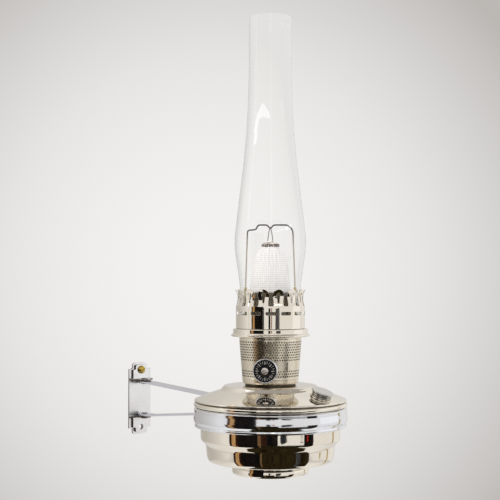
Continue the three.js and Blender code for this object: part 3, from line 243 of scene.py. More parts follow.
# Each slot's looks, with their finish and its values. A metal's are its colour, its duller colour,
# its least and most roughness, and its wear
FINISHES = {
    "nickel": {
        "nickel_plate": (metal, (0.78, 0.73, 0.645), (0.7, 0.635, 0.525), (0.03, 0.075), 1),
        "burner_nickel": (metal, (0.73, 0.67, 0.56), (0.58, 0.51, 0.39), (0.06, 0.16), 1.2),
        "pierced_nickel": (metal, (0.72, 0.655, 0.545), (0.57, 0.5, 0.38), (0.2, 0.32), 1.2),
        "cap_nickel": (metal, (0.6, 0.585, 0.56), (0.5, 0.485, 0.46), (0.05, 0.12), 0.9),
        # Dark metal: the font's joint line, and painted shade in gaps, under the basket and inside
        # its holes
        "dark_joint_and_shade": (metal, (0.12, 0.105, 0.08), (0.05, 0.042, 0.03), (0.2, 0.4), 1)},
    "bracket_chrome": {
        "bright_chrome": (metal, (0.74, 0.745, 0.77), (0.62, 0.625, 0.65), (0.05, 0.13), 0.8),
        "bracket_chrome": (metal, (0.75, 0.745, 0.74), (0.64, 0.635, 0.63), (0.16, 0.32), 1),
        # Cut edges: darker than the plating, and darker still as painted shade along them
        "cut_edge_and_shade": (metal, (0.2, 0.17, 0.15), (0.08, 0.065, 0.055), (0.3, 0.5), 1.2),
        "strap_steel": (metal, (0.6, 0.6, 0.65), (0.52, 0.52, 0.565), (0.18, 0.34), 0.8),
        # Steel pivot pins: darker than the chrome, and darker still as painted shade in the gaps
        # round them
        "pin_steel_and_shade": (metal, (0.34, 0.335, 0.33), (0.13, 0.125, 0.12), (0.2, 0.4), 1.2),
        "screw_nickel": (metal, (0.72, 0.67, 0.62), (0.58, 0.53, 0.48), (0.28, 0.42), 1),
        "dial_marks": (metal, (0.86, 0.83, 0.78), (0.6, 0.57, 0.52), (0.3, 0.5), 1)},
    "steel": {
        "plain_steel": (metal, (0.56, 0.54, 0.5), (0.38, 0.34, 0.3), (0.25, 0.45), 1),
        "sooted_cone": (metal, (0.3, 0.25, 0.16), (0.1, 0.085, 0.06), (0.35, 0.6), 1),
        "heated_wire": (heated_wire, (0.62, 0.56, 0.45), (0.03, 0.026, 0.024), 232, 252)},
    "brass": {"yellow_brass": (metal, (0.55, 0.39, 0.09), (0.26, 0.17, 0.04), (0.12, 0.28), 1.6)},
    "burner_brass": {
        "burner_brass": (metal, (0.6, 0.47, 0.22), (0.36, 0.27, 0.12), (0.2, 0.42), 1)},
    "mantle_knit": {
        "mantle_knit": (knit, (0.765, 0.735, 0.715), (0.855, 0.83, 0.81), (0.07, 0.052, 0.028),
                        184.6),
        "gathered_cloth": (soft, (0.85, 0.76, 0.7), (0.06, 0.04, 0.03), 420, (0.46, 0.56))},
    "black_enamel": {"black_enamel": (gloss_paint, (0.002, 0.002, 0.0025), (0.008, 0.008, 0.009))},
    "gasket_rubber": {"gasket_rubber": (soft, (0.03, 0.028, 0.026), (0.055, 0.05, 0.046), 900)},
    "wick_cotton": {"wick_cotton": (woven, (0.6, 0.53, 0.42), (0.82, 0.76, 0.64), 90, 1.2)},
    "dark_thread": {"dark_thread": (soft, (0.05, 0.035, 0.03), (0.2, 0.15, 0.12), 1400)},
    "clear_glass": {"clear_glass": (glass, (0.995, 0.995, 0.992))},
}
LOOKS = {name: (slot, new_material(name, *finish))
         for slot, looks in FINISHES.items() for name, finish in looks.items()}


# Outlines, as lists of 2D points
def rounded(corners, steps=5):
    """An open outline of (x, y, reach): a corner with a reach is rounded that far on both sides."""
    line = []
    for index, corner in enumerate(corners):
        here = Vector(corner[:2])
        reach = corner[2] if len(corner) > 2 else 0
        if reach == 0 or index in (0, len(corners) - 1):
            line.append(here)
            continue
        back, ahead = (Vector(corners[index + turn][:2]) - here for turn in (-1, 1))
        start = here + back.normalized() * min(reach, 0.49 * back.length)
        end = here + ahead.normalized() * min(reach, 0.49 * ahead.length)
        for step in range(steps + 1):
            t = step / steps
            line.append(start * (1 - t) ** 2 + here * 2 * t * (1 - t) + end * t ** 2)
    return [tuple(point) for point in line]


def smoothed(points, steps):
    """A curve through all the points, with steps between each two."""
    line = [Vector(point) for point in points]
    ends = [line[0] * 2 - line[1], *line, line[-1] * 2 - line[-2]]
    curve = []
    for a, b, c, d in zip(ends, ends[1:], ends[2:], ends[3:]):
        for step in range(steps):
            t = step / steps
            curve.append(0.5 * (2 * b + (c - a) * t + (2 * a - 5 * b + 4 * c - d) * t * t
                                + (3 * b - a - 3 * c + d) * t ** 3))
    return [tuple(point) for point in [*curve, line[-1]]]


def offset(points, distance):
    """The line moved to its left, mitred at its corners."""
    line = [Vector(point) for point in points]
    sides = [b - a for a, b in zip(line, line[1:])]
    normals = [Vector((-side.y, side.x)).normalized() for side in sides]
    made = []
    for here, before, after in zip(line, [normals[0], *normals], [*normals, normals[-1]]):
        mitre = (before + after).normalized()
        made.append(tuple(here + mitre * distance / max(mitre.dot(before), 0.4)))
    return made


def shell(line, thickness):
    return [*line, *offset(line, thickness)[::-1]]


def around(radius, degrees, x=0, y=0):
    """Points round (x, y) at the given angles."""
    return [(x + radius * math.cos(math.radians(a)), y + radius * math.sin(math.radians(a)))
            for a in degrees]


def ring_of(radius, count, x=0, y=0):
    return around(radius, [360 * i / count for i in range(count)], x, y)


def thread(root, height, start, pitch, turns, flank, crest=0.15):
    """The outline of a screw thread: each turn has two flanks and a narrow crest."""
    turn = [(0, 0), (height, flank), (height, flank + crest), (0, 2 * flank + crest)]
    return [(root + out, start + pitch * count + up) for count in range(turns) for out, up in turn]


def mirrored(half):
    """A whole outline from its right half, which ends on the middle line."""
    return [*half, *[(-x, y) for x, y in half[-2::-1]]]


def divided(line, step, closed=True):
    """The line with no side longer than the step."""
    made = []
    for start, end in zip(line, [*line[1:], line[0]] if closed else line[1:]):
        a, b = Vector(start), Vector(end)
        parts = max(1, math.ceil((b - a).length / step - TINY))
        made += [tuple(a.lerp(b, part / parts)) for part in range(parts)]
    return made if closed else [*made, line[-1]]


def lengths_along(path):
    lengths = [0]
    for a, b in zip(path, path[1:]):
        lengths.append(lengths[-1] + (Vector(b) - Vector(a)).length)
    return lengths


def between(points, value):
    """The straight-line value of (level, amount) points at a level."""
    for (low, start), (high, end) in zip(points, points[1:]):
        if value <= high:
            return start + (end - start) * max(0, value - low) / (high - low)
    return points[-1][1]


def inside(point, loop):
    x, y = point
    odd = False
    for (ax, ay), (bx, by) in zip(loop, [*loop[1:], loop[0]]):
        if (ay > y) != (by > y) and x < (bx - ax) * (y - ay) / (by - ay) + ax:
            odd = not odd
    return odd


def room_to(point, loop):
    """Least distance from the point to the loop's sides."""
    here = Vector(point)
    least = math.inf
    for start, end in zip(loop, [*loop[1:], loop[0]]):
        a, side = Vector(start), Vector(end) - Vector(start)
        share = max(0, min(1, (here - a).dot(side) / max(side.length_squared, 1e-12)))
        least = min(least, (here - a - side * share).length)
    return least


def filled(outline, holes, step):
    """Points and triangles that fill an outline round its holes, on an even grid."""
    def solid(point):
        return inside(point, outline) and not any(inside(point, hole) for hole in holes)

    loops = [outline, *holes]
    clearance = 0.45 * step
    points, edges = [], []
    for loop in loops:
        first = len(points)
        points += [Vector(point) for point in loop]
        edges += [(first + i, first + (i + 1) % len(loop)) for i in range(len(loop))]
    low = [min(point[axis] for point in outline) for axis in (0, 1)]
    size = [max(point[axis] for point in outline) - low[axis] for axis in (0, 1)]
    counts = [max(1, round(length / step)) for length in size]
    for i in range(1, counts[0]):
        for j in range(1, counts[1]):
            point = (low[0] + size[0] * i / counts[0], low[1] + size[1] * j / counts[1])
            if solid(point) and all(room_to(point, loop) > clearance for loop in loops):
                points.append(Vector(point))
    made, _, triangles = delaunay_2d_cdt(points, edges, [], 0, TINY)[:3]
    kept = [tuple(corners) for corners in triangles
            if solid(sum((made[i] for i in corners), Vector((0, 0))) / len(corners))]
    return [tuple(point) for point in made], kept


# Pieces
BOX_FACES = [(0, 1, 3, 2), (4, 6, 7, 5), (0, 4, 5, 1), (2, 3, 7, 6), (0, 2, 6, 4), (1, 5, 7, 3)]


def turned_mesh(outline, sides, closed=True):
    """Vertices and faces of an outline of (radius, level) turned round +Z."""
    vertices, rings = [], []
    for radius, level in outline:
        first = len(vertices)
        if radius < TINY:
            vertices.append((0, 0, level))
            rings.append([first] * sides)
        else:
            vertices += [(x, y, level) for x, y in ring_of(radius, sides)]
            rings.append(list(range(first, first + sides)))
    faces = []
    for lower, upper in zip(rings, [*rings[1:], rings[0]] if closed else rings[1:]):
        for side in range(sides):
            beside = (side + 1) % sides
            face = dict.fromkeys((lower[side], lower[beside], upper[beside], upper[side]))
            if len(face) > 2:
                faces.append(tuple(face))
    return vertices, faces


def new_object(name, data):
    made = bpy.data.objects.new(name, data)
    bpy.context.scene.collection.objects.link(made)
    return made


def new_mesh(name, vertices, faces, closed=True):
    """A welded mesh from points in millimetres. The faces of a closed one look outwards."""
    mesh = bpy.data.meshes.new(name)
    mesh.from_pydata([tuple(value * MM for value in vertex) for vertex in vertices], [], faces)
    work = bmesh.new()
    work.from_mesh(mesh)
    bmesh.ops.remove_doubles(work, verts=work.verts, dist=1e-7)
    if closed:
        bmesh.ops.recalc_face_normals(work, faces=work.faces)
    work.to_mesh(mesh)
    work.free()
    return mesh


def add_piece(name, data, placement, look, body, replaced):
    """A piece in its place. One called after a node, with _formed in its name, replaces it."""
    slot, material = LOOKS[look]
    data.materials.append(material)
    piece = new_object(name, data)
    piece.matrix_world = placement
    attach(piece, body)
    node = replaced or ("_formed" in name and name.replace("_formed", ""))
    if node:
        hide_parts(node)
    return piece


def build(name, vertices, faces, placement, look, body, crease=CREASE, closed=True, replaced=None):
    """A piece of points in millimetres, shaded smooth but for its sharp edges."""
    mesh = new_mesh(name, vertices, faces, closed)
    mesh.shade_smooth()
    mesh.set_sharp_from_angle(angle=math.radians(crease))
    return add_piece(name, mesh, placement, look, body, replaced)


def lathe(name, corners, steps, placement, look, body, sides=ROUND_SIDES, wall=0, crease=CREASE,
          replaced=None):
    """A piece turned from a rounded outline, which is the outline of its skin if it has a wall."""
    outline = rounded(corners, steps)
    vertices, faces = turned_mesh(shell(outline, wall) if wall else outline, sides)
    return build(name, vertices, faces, placement, look, body, crease, replaced=replaced)


def wire(name, points, radius, roundness, placement, look, body, replaced=None):
    """A round wire or thread along the points."""
    data = assign(bpy.data.curves.new(name, "CURVE"), dimensions="3D", bevel_depth=radius * MM,
                  bevel_resolution=roundness, use_fill_caps=True)
    line = data.splines.new("POLY")
    line.points.add(len(points) - 1)
    for knot, point in zip(line.points, points):
        knot.co = (*(value * MM for value in point), 1)
    line.use_smooth = True
    add_piece(name, data, placement, look, body, replaced)


def sectors(name, sector, pitch, count, radius_at, placement, look, body, replaced=None):
    """A sheet of equal sectors round the axis. The sector is flat, pitch wide and centred on 0."""
    points, triangles = sector
    vertices, faces = [], []
    for copy in range(count):
        first = len(vertices)
        for across, level in points:
            angle = FULL_TURN * (copy + across / pitch) / count
            radius = radius_at(level)
            vertices.append((radius * math.sin(angle), -radius * math.cos(angle), level))
        faces += [tuple(first + corner for corner in triangle) for triangle in triangles]
    piece = build(name, vertices, faces, placement, look, body, 60, replaced=replaced)
    face_out(piece)
    return piece


def from_axis(point):
    return Vector((point.x, point.y, 0))


def face_out(piece, outward=from_axis):
    """Turns a sheet's faces to look the way that outward gives for a point on it."""
    mesh = piece.data
    if sum(face.normal.dot(outward(face.center)) * face.area for face in mesh.polygons) < 0:
        mesh.flip_normals()


def thicken(piece, thickness, side=-1, edge=0, cut=None, back=False):
    """Gives a sheet its thickness, on the given side of its faces, and softens its cut edges. The
    cut look goes on the cut edges, and on the back too if asked. Its darkness is painted shade,
    which on the bracket's edges adds to their own darker tone."""
    solid = assign(piece.modifiers.new("thickness", "SOLIDIFY"), thickness=thickness * MM,
                   offset=side, use_even_offset=True)
    if cut:
        piece.data.materials.append(LOOKS[cut][1])
        assign(solid, material_offset_rim=1, material_offset=int(back))
    if edge:
        soften(piece, edge)


def soften(piece, width):
    assign(piece.modifiers.new("edges", "BEVEL"), width=width * MM, segments=2,
           limit_method="ANGLE", angle_limit=math.radians(45), harden_normals=True)


def settle(piece):
    """Keeps the mesh that the modifiers make, and marks its sharp edges anew."""
    bpy.context.view_layer.update()
    graph = bpy.context.evaluated_depsgraph_get()
    made = bpy.data.meshes.new_from_object(piece.evaluated_get(graph))
    piece.modifiers.clear()
    piece.data = made
    made.set_sharp_from_angle(angle=math.radians(CREASE))


def subtract(piece, vertices, faces, placement):
    cutter = new_object("cutter", new_mesh("cutter", vertices, faces))
    cutter.matrix_world = placement
    assign(piece.modifiers.new("cut", "BOOLEAN"), operation="DIFFERENCE", solver="EXACT",
           object=cutter)
    settle(piece)
    bpy.data.objects.remove(cutter)


def cut_slot(piece, length, width, depth, top, placement):
    """Cuts a straight slot into a screw's head, turned as in the photograph."""
    corners = [(x * length / 2, y * width / 2, top + z * depth)
               for x in (-1, 1) for y in (-1, 1) for z in (-1, 1)]
    subtract(piece, corners, BOX_FACES, placement @ turned(35, "Z"))


# Bracket
PLATE = SimpleNamespace(height=82, width=32, thickness=1.6, shoulder=7)
TAB = SimpleNamespace(width=23, thickness=2, tip=38.8, shoulder=5.6, middle=2.9)
EAR_LEVELS = {"upper": 21.3, "lower": -20.6}
EAR_TIP = 7.5
SCREW_HOLE = SimpleNamespace(level=33, radius=3.2)
PIVOT_HOLE = 2.8
STRAP = SimpleNamespace(width=14.5, thickness=2.1, reach=122.9, flat=12, landing=9)
BAND = SimpleNamespace(bottom=-13.5, top=6.3, bore=72.8, thickness=6)
# How far out the band's side stands, as (share of its thickness, share of its height)
BAND_SIDE = [
    (0.6, 0), (0.78, 0.03), (0.82, 0.1), (0.76, 0.17), (0.84, 0.23), (0.96, 0.32), (1, 0.42),
    (0.995, 0.5), (0.965, 0.58), (0.89, 0.74), (0.88, 0.8), (0.895, 0.86), (0.885, 0.93), (0.62, 1)]


def ogee_end(half_width, top, shoulder):
    """Right half of a plate's end: straight side, hollow shoulder, round tip."""
    neck, foot = 0.68 * half_width, top - shoulder
    hollow = rounded([(half_width, foot), (neck, foot, 0.2 * half_width),
                      (neck, foot + 0.3 * shoulder)], 6)
    return [*hollow, *rounded([hollow[-1], (0.66 * half_width, top, shoulder), (0, top)], 10)[1:]]


def wall_plate():
    end = mirrored(ogee_end(PLATE.width / 2, PLATE.height / 2, PLATE.shoulder))
    outline = divided([*end, *[(-x, -y) for x, y in end]], 4)
    holes = [ring_of(SCREW_HOLE.radius, 28, 0, side * SCREW_HOLE.level) for side in (1, -1)]
    points, triangles = filled(outline, holes, 4)
    piece = build("wall_plate_formed", [(x, 0, z) for x, z in points], triangles, WALL,
                  "bracket_chrome", "bracket", closed=False)
    face_out(piece, lambda point: Vector((0, 1, 0)))
    # Its cut edges take a dark colour: a darker edge tone with painted shade on it
    thicken(piece, PLATE.thickness, -1, 0.2, "cut_edge_and_shade")


def bent_strip(name, outline, holes, path, thickness, look, body, step, cut=None):
    """A flat strip of (across, along) points, laid along a path of (out from the wall, up)."""
    outwards, upwards = (list(zip(lengths_along(path), values)) for values in zip(*path))
    points, triangles = filled(divided(outline, step), holes, step)
    vertices = [(x, -between(outwards, along), between(upwards, along)) for x, along in points]
    thicken(build(name, vertices, triangles, WALL, look, body), thickness, 0, 0.2 if cut else 0.4,
            cut)


def ear_bracket(which, side):
    level = EAR_LEVELS[which]
    path = rounded([(TAB.middle, side * TAB.tip), (TAB.middle, level, 2.6),
                    (PIVOT_REACH + EAR_TIP, level)], 8)
    length = lengths_along(path)[-1]
    tab = [(x, TAB.tip - z) for x, z in ogee_end(TAB.width / 2, TAB.tip, TAB.shoulder)]
    root = TAB.tip - abs(level) - 1.2
    flank = rounded([
        (TAB.width / 2, root), (PLATE.width / 2, root, 1.5), (PLATE.width / 2, root + 3.5, 2),
        (EAR_TIP + 1.5, root + 5, 3), (EAR_TIP, length - EAR_TIP)], 6)
    tip = around(EAR_TIP, [7.5 * step for step in range(1, 12)], 0, length - EAR_TIP)
    outline = [(0, 0), *mirrored([*tab[-2::-1], *flank, *tip, (0, length)])]
    holes = [ring_of(SCREW_HOLE.radius, 28, 0, TAB.tip - SCREW_HOLE.level),
             ring_of(PIVOT_HOLE, 20, 0, length - EAR_TIP)]
    # The tab's and ear's cut edges take a dark colour: a darker edge tone with painted shade on it
    bent_strip("ear_bracket_formed_" + which, outline, holes, path, TAB.thickness,
               "bracket_chrome", "bracket", 2, "cut_edge_and_shade")


def wall_screw():
    place_at = moved(0, -4.2, SCREW_HOLE.level) @ turned(90, "X")
    screw = lathe("wall_screw_formed", [
        (0, -19.8), (0.4, -19.2), (2.1, -14.6), *thread(1.75, 0.55, -14.2, 1.2, 10, 0.45),
        (1.9, -1.2), (1.9, 0), (4.6, 0, 0.3), (4.6, 0.8, 0.4), (3.6, 3, 3), (0, 3)],
        8, place_at, "yellow_brass", "bracket", SMALL_SIDES, replaced="wall_screw_upper")
    cut_slot(screw, 9.6, 1.1, 1, 3, place_at)


def pivot_pin(which, head, tail):
    """A rivet through ear and strap: its wide head lies on the ear, its tail under the strap."""
    shank = abs(head - tail)
    # The pin's dark steel colour is partly painted shade
    lathe("pivot_pin_formed_" + which, [
        (0, -1.2), (3.3, -1.2, 0.8), (3.9, -0.3, 0.3), (3.9, 0), (2.5, 0), (2.5, shank),
        (4.4, shank, 0.2), (4.4, shank + 0.5, 0.6), (2.6, shank + 1.5, 1.4), (0, shank + 1.5)],
        6, moved(0, -PIVOT_REACH, tail) @ turned(0 if head > tail else 180, "X"),
        "pin_steel_and_shade", "bracket", SMALL_SIDES)


def strap(which, pivot_level, band_level, tab_end, rivet_level):
    reach = PIVOT_REACH + STRAP.reach - STRAP.thickness / 2
    half = STRAP.width / 2
    path = rounded([
        (PIVOT_REACH - half, pivot_level), (PIVOT_REACH + STRAP.flat, pivot_level, 3),
        (reach - STRAP.landing, band_level, 3), (reach, band_level, 2.2), (reach, tab_end)], 8)
    length = lengths_along(path)[-1]
    eye = around(half, [-5.625 * step for step in range(33)], 0, half)
    holes = [ring_of(PIVOT_HOLE, 20, 0, half),
             ring_of(2.1, 16, 0, length - abs(rivet_level - tab_end))]
    bent_strip("arm_strap_formed_" + which, [(-half, length), (half, length), *eye], holes, path,
               STRAP.thickness, "strap_steel", "arm", 2.4)


def ring_band():
    height, inner = BAND.top - BAND.bottom, BAND.bore + 0.3
    side = smoothed([(BAND.bore + out * BAND.thickness, BAND.bottom + up * height)
                     for out, up in BAND_SIDE], 6)
    lathe("ring_band_formed", [(inner, BAND.bottom), *side, (inner, BAND.top),
                               (BAND.bore, BAND.top - 0.3), (BAND.bore, BAND.bottom + 0.3)],
          1, BAND_AXIS, "bright_chrome", "arm", FINE_SIDES)


def strap_rivet(which, level):
    lathe("strap_rivet_formed_" + which, [
        (0, 0.3), (1.8, 0.3), (1.8, 8.7), (2.8, 8.7, 0.15), (2.8, 9.1, 0.4), (1.6, 9.9, 0.9),
        (0, 9.9)], 5, BAND_AXIS @ moved(0, BAND.bore, level) @ turned(-90, "X"),
        "bright_chrome", "arm", SMALL_SIDES)


def make_bracket():
    wall_plate()
    ear_bracket("upper", 1)
    ear_bracket("lower", -1)
    wall_screw()
    pivot_pin("upper", 22.3, 17.9)
    pivot_pin("lower", -21.6, -17.2)
    strap("upper", 18.95, 11.7, -0.75, 2.35)
    strap("lower", -18.25, -8.3, -1.35, -4.15)
    ring_band()
    strap_rivet("upper", 2.35)
    strap_rivet("lower", -4.15)


# Font
FONT_WALL = 1.2


def make_font():
    lathe("font_foot_formed", [
        (35.3, 0.4), (35.7, 0, 0.3), (38.4, 0, 1.6), (39.3, 2.4, 1.2), (39, 6.5, 1.5),
        (38, 8.4, 1.2), (38.4, 10), (35.3, 10)],
        6, LAMP, "nickel_plate", "font", FINE_SIDES, replaced="font_foot_ring")
    lathe("font_bowl_formed", [
        (0, 10.3), (44.5, 10.3, 1), (46.5, 12, 1), (58.6, 12.2, 2), (63.6, 13.4, 2.6),
        (65, 18, 2.2), (66.1, 28.6, 1.4), (66.6, 30.4, 0.8), (70.8, 34.4, 0.7), (71.3, 35.6, 0.6),
        (71.5, 39, 2), (71.5, 68, 1.3), (76.6, 68, 1.2), (78.6, 69.2, 1.3), (78.6, 71.7, 1.2),
        (77, 72.8)], 7, LAMP, "nickel_plate", "font", FINE_SIDES, wall=FONT_WALL)
    top = lathe("font_top_formed", [
        (76, 73.9), (77.9, 73.9, 0.6), (77.9, 75.4, 0.7), (64.7, 80.6, 12), (51.4, 84.9, 2.4),
        (49.6, 86.6, 1.2), (47.6, 89.6, 2.2), (41, 89.9, 4), (24, 89.9)],
        7, LAMP, "nickel_plate", "font", FINE_SIDES, wall=FONT_WALL)
    filler_bore = turned_mesh([(0, -9), (8.7, -9), (8.7, 9), (0, 9)], SMALL_SIDES)
    subtract(top, *filler_bore, FILLER)
    # A dark ring in the joint of bowl and top: partly the joint's own colour, partly painted shade
    # in the seam
    lathe("font_seam", [(76.2, 72.3), (77.2, 72.3), (77.2, 74.3), (76.2, 74.3)],
          1, LAMP, "dark_joint_and_shade", "font", FINE_SIDES)


def make_filler():
    lathe("filler_neck_formed", [
        (7.2, -4), (8.4, -4), (8.4, 0.3), (10.8, 0.3, 0.3), (10.8, 1.7, 0.5), (8.4, 1.7),
        *thread(8.4, 0.18, 2, 0.8, 3, 0.25), (8.4, 4.6), (7.2, 4.6)],
        4, FILLER, "nickel_plate", "font")
    lathe("filler_gasket_formed", [
        (7.7, 4.9), (8.4, 4.9, 0.2), (8.4, 5.7, 0.2), (7.2, 5.7, 0.2), (7.2, 4.9, 0.2),
        (7.7, 4.9)], 3, FILLER, "gasket_rubber", "filler_cap_unit", SMALL_SIDES)
    # Painted shade: a dark core in the gap under the cap's disc, between its ribs
    lathe("filler_cap_core", [(8.7, 6), (8.7, 2.1), (8.95, 2.1), (8.95, 6)],
          1, FILLER, "dark_joint_and_shade", "filler_cap_unit")
    for rib, (low, high) in enumerate(((2, 3), (3.8, 4.95)), 1):
        lathe("filler_cap_rib_%d" % rib,
              [(8.8, low), (9.95, low, 0.3), (9.95, high, 0.3), (8.8, high)],
              4, FILLER, "cap_nickel", "filler_cap_unit")
    lathe("filler_cap_formed", [
        (0, 6), (9.5, 6), (11, 6.05, 0.4), (11.4, 6.6, 0.5), (11.2, 7.1, 0.5), (9.6, 7.65, 2),
        (0, 7.8)], 6, FILLER, "cap_nickel", "filler_cap_unit")


# Burner
# The basket's radius at each level
BASKET_LEVELS = [(91.4, 26.9), (91.7, 27.9), (92.4, 28.4), (93.2, 28.6), (134.5, 31.8),
                 (160, 31.8)]
BASKET_COLUMNS = 72
BASKET_HOLE = 0.8
BASKET_ROWS = [99.9, 102.5, 105.1, *(116.4 + 2.57 * row for row in range(8))]
SEAM_AZIMUTH = FRAME_AZIMUTH + 32.8
SPREADER_RADIUS = 12.6
SPREADER_COLUMNS = 30
SPREADER_HOLE = 0.7
SPREADER_ROWS = [171 + 2.4 * row for row in range(5)]
KNOB_GRIPS = 60


def basket_radius(level):
    return between(BASKET_LEVELS, level)


def pierced_sector(pitch, low, high, hole, rows, step):
    """One column of a pierced sheet: whole holes on its middle, half holes on its sides."""
    side = pitch / 2
    edge = [(side, low)]

    def climb(end):
        """Even points up the edge, short of the end."""
        gap = end - edge[-1][1]
        parts = max(1, math.ceil(gap / (1.4 * step)))
        edge.extend([(side, end - gap / parts * left) for left in range(parts - 1, 0, -1)])

    for level in rows[1::2]:
        climb(level - hole)
        edge += around(hole, range(270, 89, -30), side, level)
    climb(high)
    edge.append((side, high))
    outline = [*edge, *[(-x, y) for x, y in edge[::-1]]]
    return filled(outline, [ring_of(hole, 12, 0, level) for level in rows[::2]], step)


def make_basket():
    pitch = FULL_TURN * 30.2 / BASKET_COLUMNS
    sector = pierced_sector(pitch, 93.2, 146.5, BASKET_HOLE, BASKET_ROWS, 1.6)
    sheet = sectors("burner_basket_pierced", sector, pitch, BASKET_COLUMNS, basket_radius, LAMP,
                    "pierced_nickel", "burner", "burner_basket")
    # Painted shade: the sheet's back and hole edges are dark, as the shade inside the basket
    thicken(sheet, 0.5, cut="dark_joint_and_shade", back=True)
    settle(sheet)
    lathe("burner_basket_foot", [(22.7, 91.4), (27.6, 91.4, 1.2), (28.62, 93.5)],
          6, LAMP, "burner_nickel", "burner", wall=0.6)
    for name, level, radius in (("lower", 97.2, 28.95), ("upper", 137.4, 31.8)):
        lathe("burner_basket_bead_" + name, [
            (radius - 0.2, level - 1), (radius + 0.35, level, 0.7), (radius - 0.1, level + 1),
            (radius - 0.4, level)], 6, LAMP, "burner_nickel", "burner")


def make_seam():
    """The lapped upright seam of the pierced sheet."""
    vertices = [(across, -(basket_radius(106.2 + 1.6 * step) + rise), 106.2 + 1.6 * step)
                for step in range(6)
                for across, rise in ((-0.75, -0.1), (-0.75, 0.28), (0.75, 0.28), (0.75, -0.1))]
    faces = [(a + i, a + (i + 1) % 4, a + 4 + (i + 1) % 4, a + 4 + i)
             for a in range(0, 20, 4) for i in range(4)]
    soften(build("burner_basket_seam", vertices, [*faces, (0, 1, 2, 3), (23, 22, 21, 20)],
                 LAMP @ turned(SEAM_AZIMUTH, "Z"), "burner_nickel", "burner"), 0.12)


def make_knob():
    knob = lathe("wick_knob_formed", [
        (2.6, 0), (5, 0, 0.4), (5, 4.6, 1.2), (10.6, 5.2, 1.2), (12.4, 5.4, 0.9), (12.4, 6.6),
        (12.1, 7), (12.4, 7.4, 0.3), (12.4, 10.2, 1), (11.9, 11, 0.5), (11.5, 11, 0.2),
        (11.4, 10.6, 0.2), (11.4, 9.8), (2.6, 9.8)],
        5, KNOB, "bright_chrome", "knob_unit", 2 * KNOB_GRIPS)
    mill_edge(knob, 12.3, 7.5, 10, 0.22)
    lathe("knob_face_formed", [
        (1.5, 10.1), (11.2, 10.1), (11.2, 10.8), (11.1, 11, 0.1), (8, 10.85, 2), (5.4, 11, 0.4),
        (4.9, 10.7, 0.3), (1.5, 10.7)], 4, KNOB, "black_enamel", "knob_unit")
    dial_marks()
    screw = lathe("knob_screw_formed", [
        (0, 7.6), (1.1, 7.6), (1.1, 11.1), (3.5, 11.1), (3.5, 12, 0.5), (2.2, 12.7, 1.2),
        (0, 12.7)], 5, KNOB, "screw_nickel", "knob_unit", SMALL_SIDES)
    cut_slot(screw, 8.4, 0.8, 0.6, 12.7, KNOB)


def mill_edge(piece, radius, low, high, depth):
    """Draws in every second line of vertices round a rim, as a milled edge."""
    for vertex in piece.data.vertices:
        x, y, z = (value / MM for value in vertex.co)
        line = round(math.atan2(y, x) / FULL_TURN * 2 * KNOB_GRIPS)
        if low < z < high and math.hypot(x, y) > radius and line % 2:
            vertex.co.xy *= (radius - depth) / math.hypot(x, y)


def dial_marks():
    """A ring of raised strokes on the dial, every third one longer and wider."""
    vertices, faces = [], []
    for stroke in range(24):
        start, half = (7.4, 0.24) if stroke % 3 else (6.4, 0.42)
        angle = FULL_TURN * stroke / 24
        faces += [tuple(len(vertices) + corner for corner in face) for face in BOX_FACES]
        for x in (start, 9.6):
            for side in (-half, half):
                for level, y in ((10.7, side), (11.16, 0.8 * side)):
                    vertices.append((x * math.cos(angle) - y * math.sin(angle),
                                     x * math.sin(angle) + y * math.cos(angle), level))
    build("knob_dial_marks", vertices, faces, KNOB, "dial_marks", "knob_unit")


def make_spreader():
    """The flame spreader: a pierced thimble with a plain round cap."""
    pitch = FULL_TURN * SPREADER_RADIUS / SPREADER_COLUMNS
    sector = pierced_sector(pitch, 168.5, 183, SPREADER_HOLE, SPREADER_ROWS, 1.4)
    thicken(sectors("flame_spreader_pierced", sector, pitch, SPREADER_COLUMNS,
                    lambda level: SPREADER_RADIUS, LAMP, "plain_steel", "burner",
                    "flame_spreader"), 0.7)
    lathe("flame_spreader_cap", [(12.6, 183), (12.6, 185.6, 1.5), (9, 188.6, 3), (0, 189)],
          6, LAMP, "plain_steel", "burner", wall=0.7)
    lathe("flame_spreader_stem", [
        (11.5, 159.5), (11.5, 168.2), (12.6, 168.2), (12.6, 168.8), (10.8, 168.8),
        (10.8, 159.5)], 1, LAMP, "plain_steel", "burner")


def make_burner():
    # Painted shade: the collar is dark, as the contact shadow under the basket's foot
    lathe("burner_collar_formed", [
        (22.6, 83.9), (23.7, 83.9, 0.3), (23.7, 90.2), (26.2, 90.2, 0.3), (26.2, 91.1, 0.3),
        (22.6, 91.1, 0.2), (22.6, 84.2)], 4, LAMP, "dark_joint_and_shade", "font")
    lathe("burner_base_formed", [
        (17.5, 92.3), (21.1, 92.3), (21.1, 83.8), (22.3, 83.8), (22.3, 92.3), (27, 92.3),
        (27.2, 92.7, 0.2), (27, 93.2), (17.5, 93.2)], 3, LAMP, "burner_brass", "burner")
    make_basket()
    make_seam()
    lathe("spindle_bushing_formed", [
        (2.5, 25.3), (3.8, 25.3, 0.2), (3.8, 30.3), (5.1, 30.3, 0.2), (5.1, 31.3, 0.4),
        (2.5, 31.3), (2.5, 25.4)], 4, SPINDLE, "burner_brass", "burner", SMALL_SIDES)
    make_knob()
    for name in ("outer_wick_tube", "inner_wick_tube", "wick_carrier", "wick_gear", "knob_spindle"):
        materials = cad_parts[name].data.materials
        materials.clear()
        materials.append(LOOKS["burner_brass"][1])
    lathe("wick_woven", [
        (12.9, 21.5), (15.1, 21.5), (15.1, 169.4, 0.5), (14.6, 169.7, 0.3), (13.4, 169.7, 0.3),
        (12.9, 169.4, 0.5), (12.9, 21.6)], 4, LAMP, "wick_cotton", "wick_unit", replaced="wick")
    make_spreader()


# Gallery and crown
CROWN_FOOT = 147.7
CROWN_TOP = 39.7
CROWN_PETALS = 14
CROWN_WALL = smoothed([(22.5, 35.4), (26, 34.4), (30, 33.7), (33, 33.8), (36.3, 34.7),
                       (CROWN_TOP, 36.2)], 6)


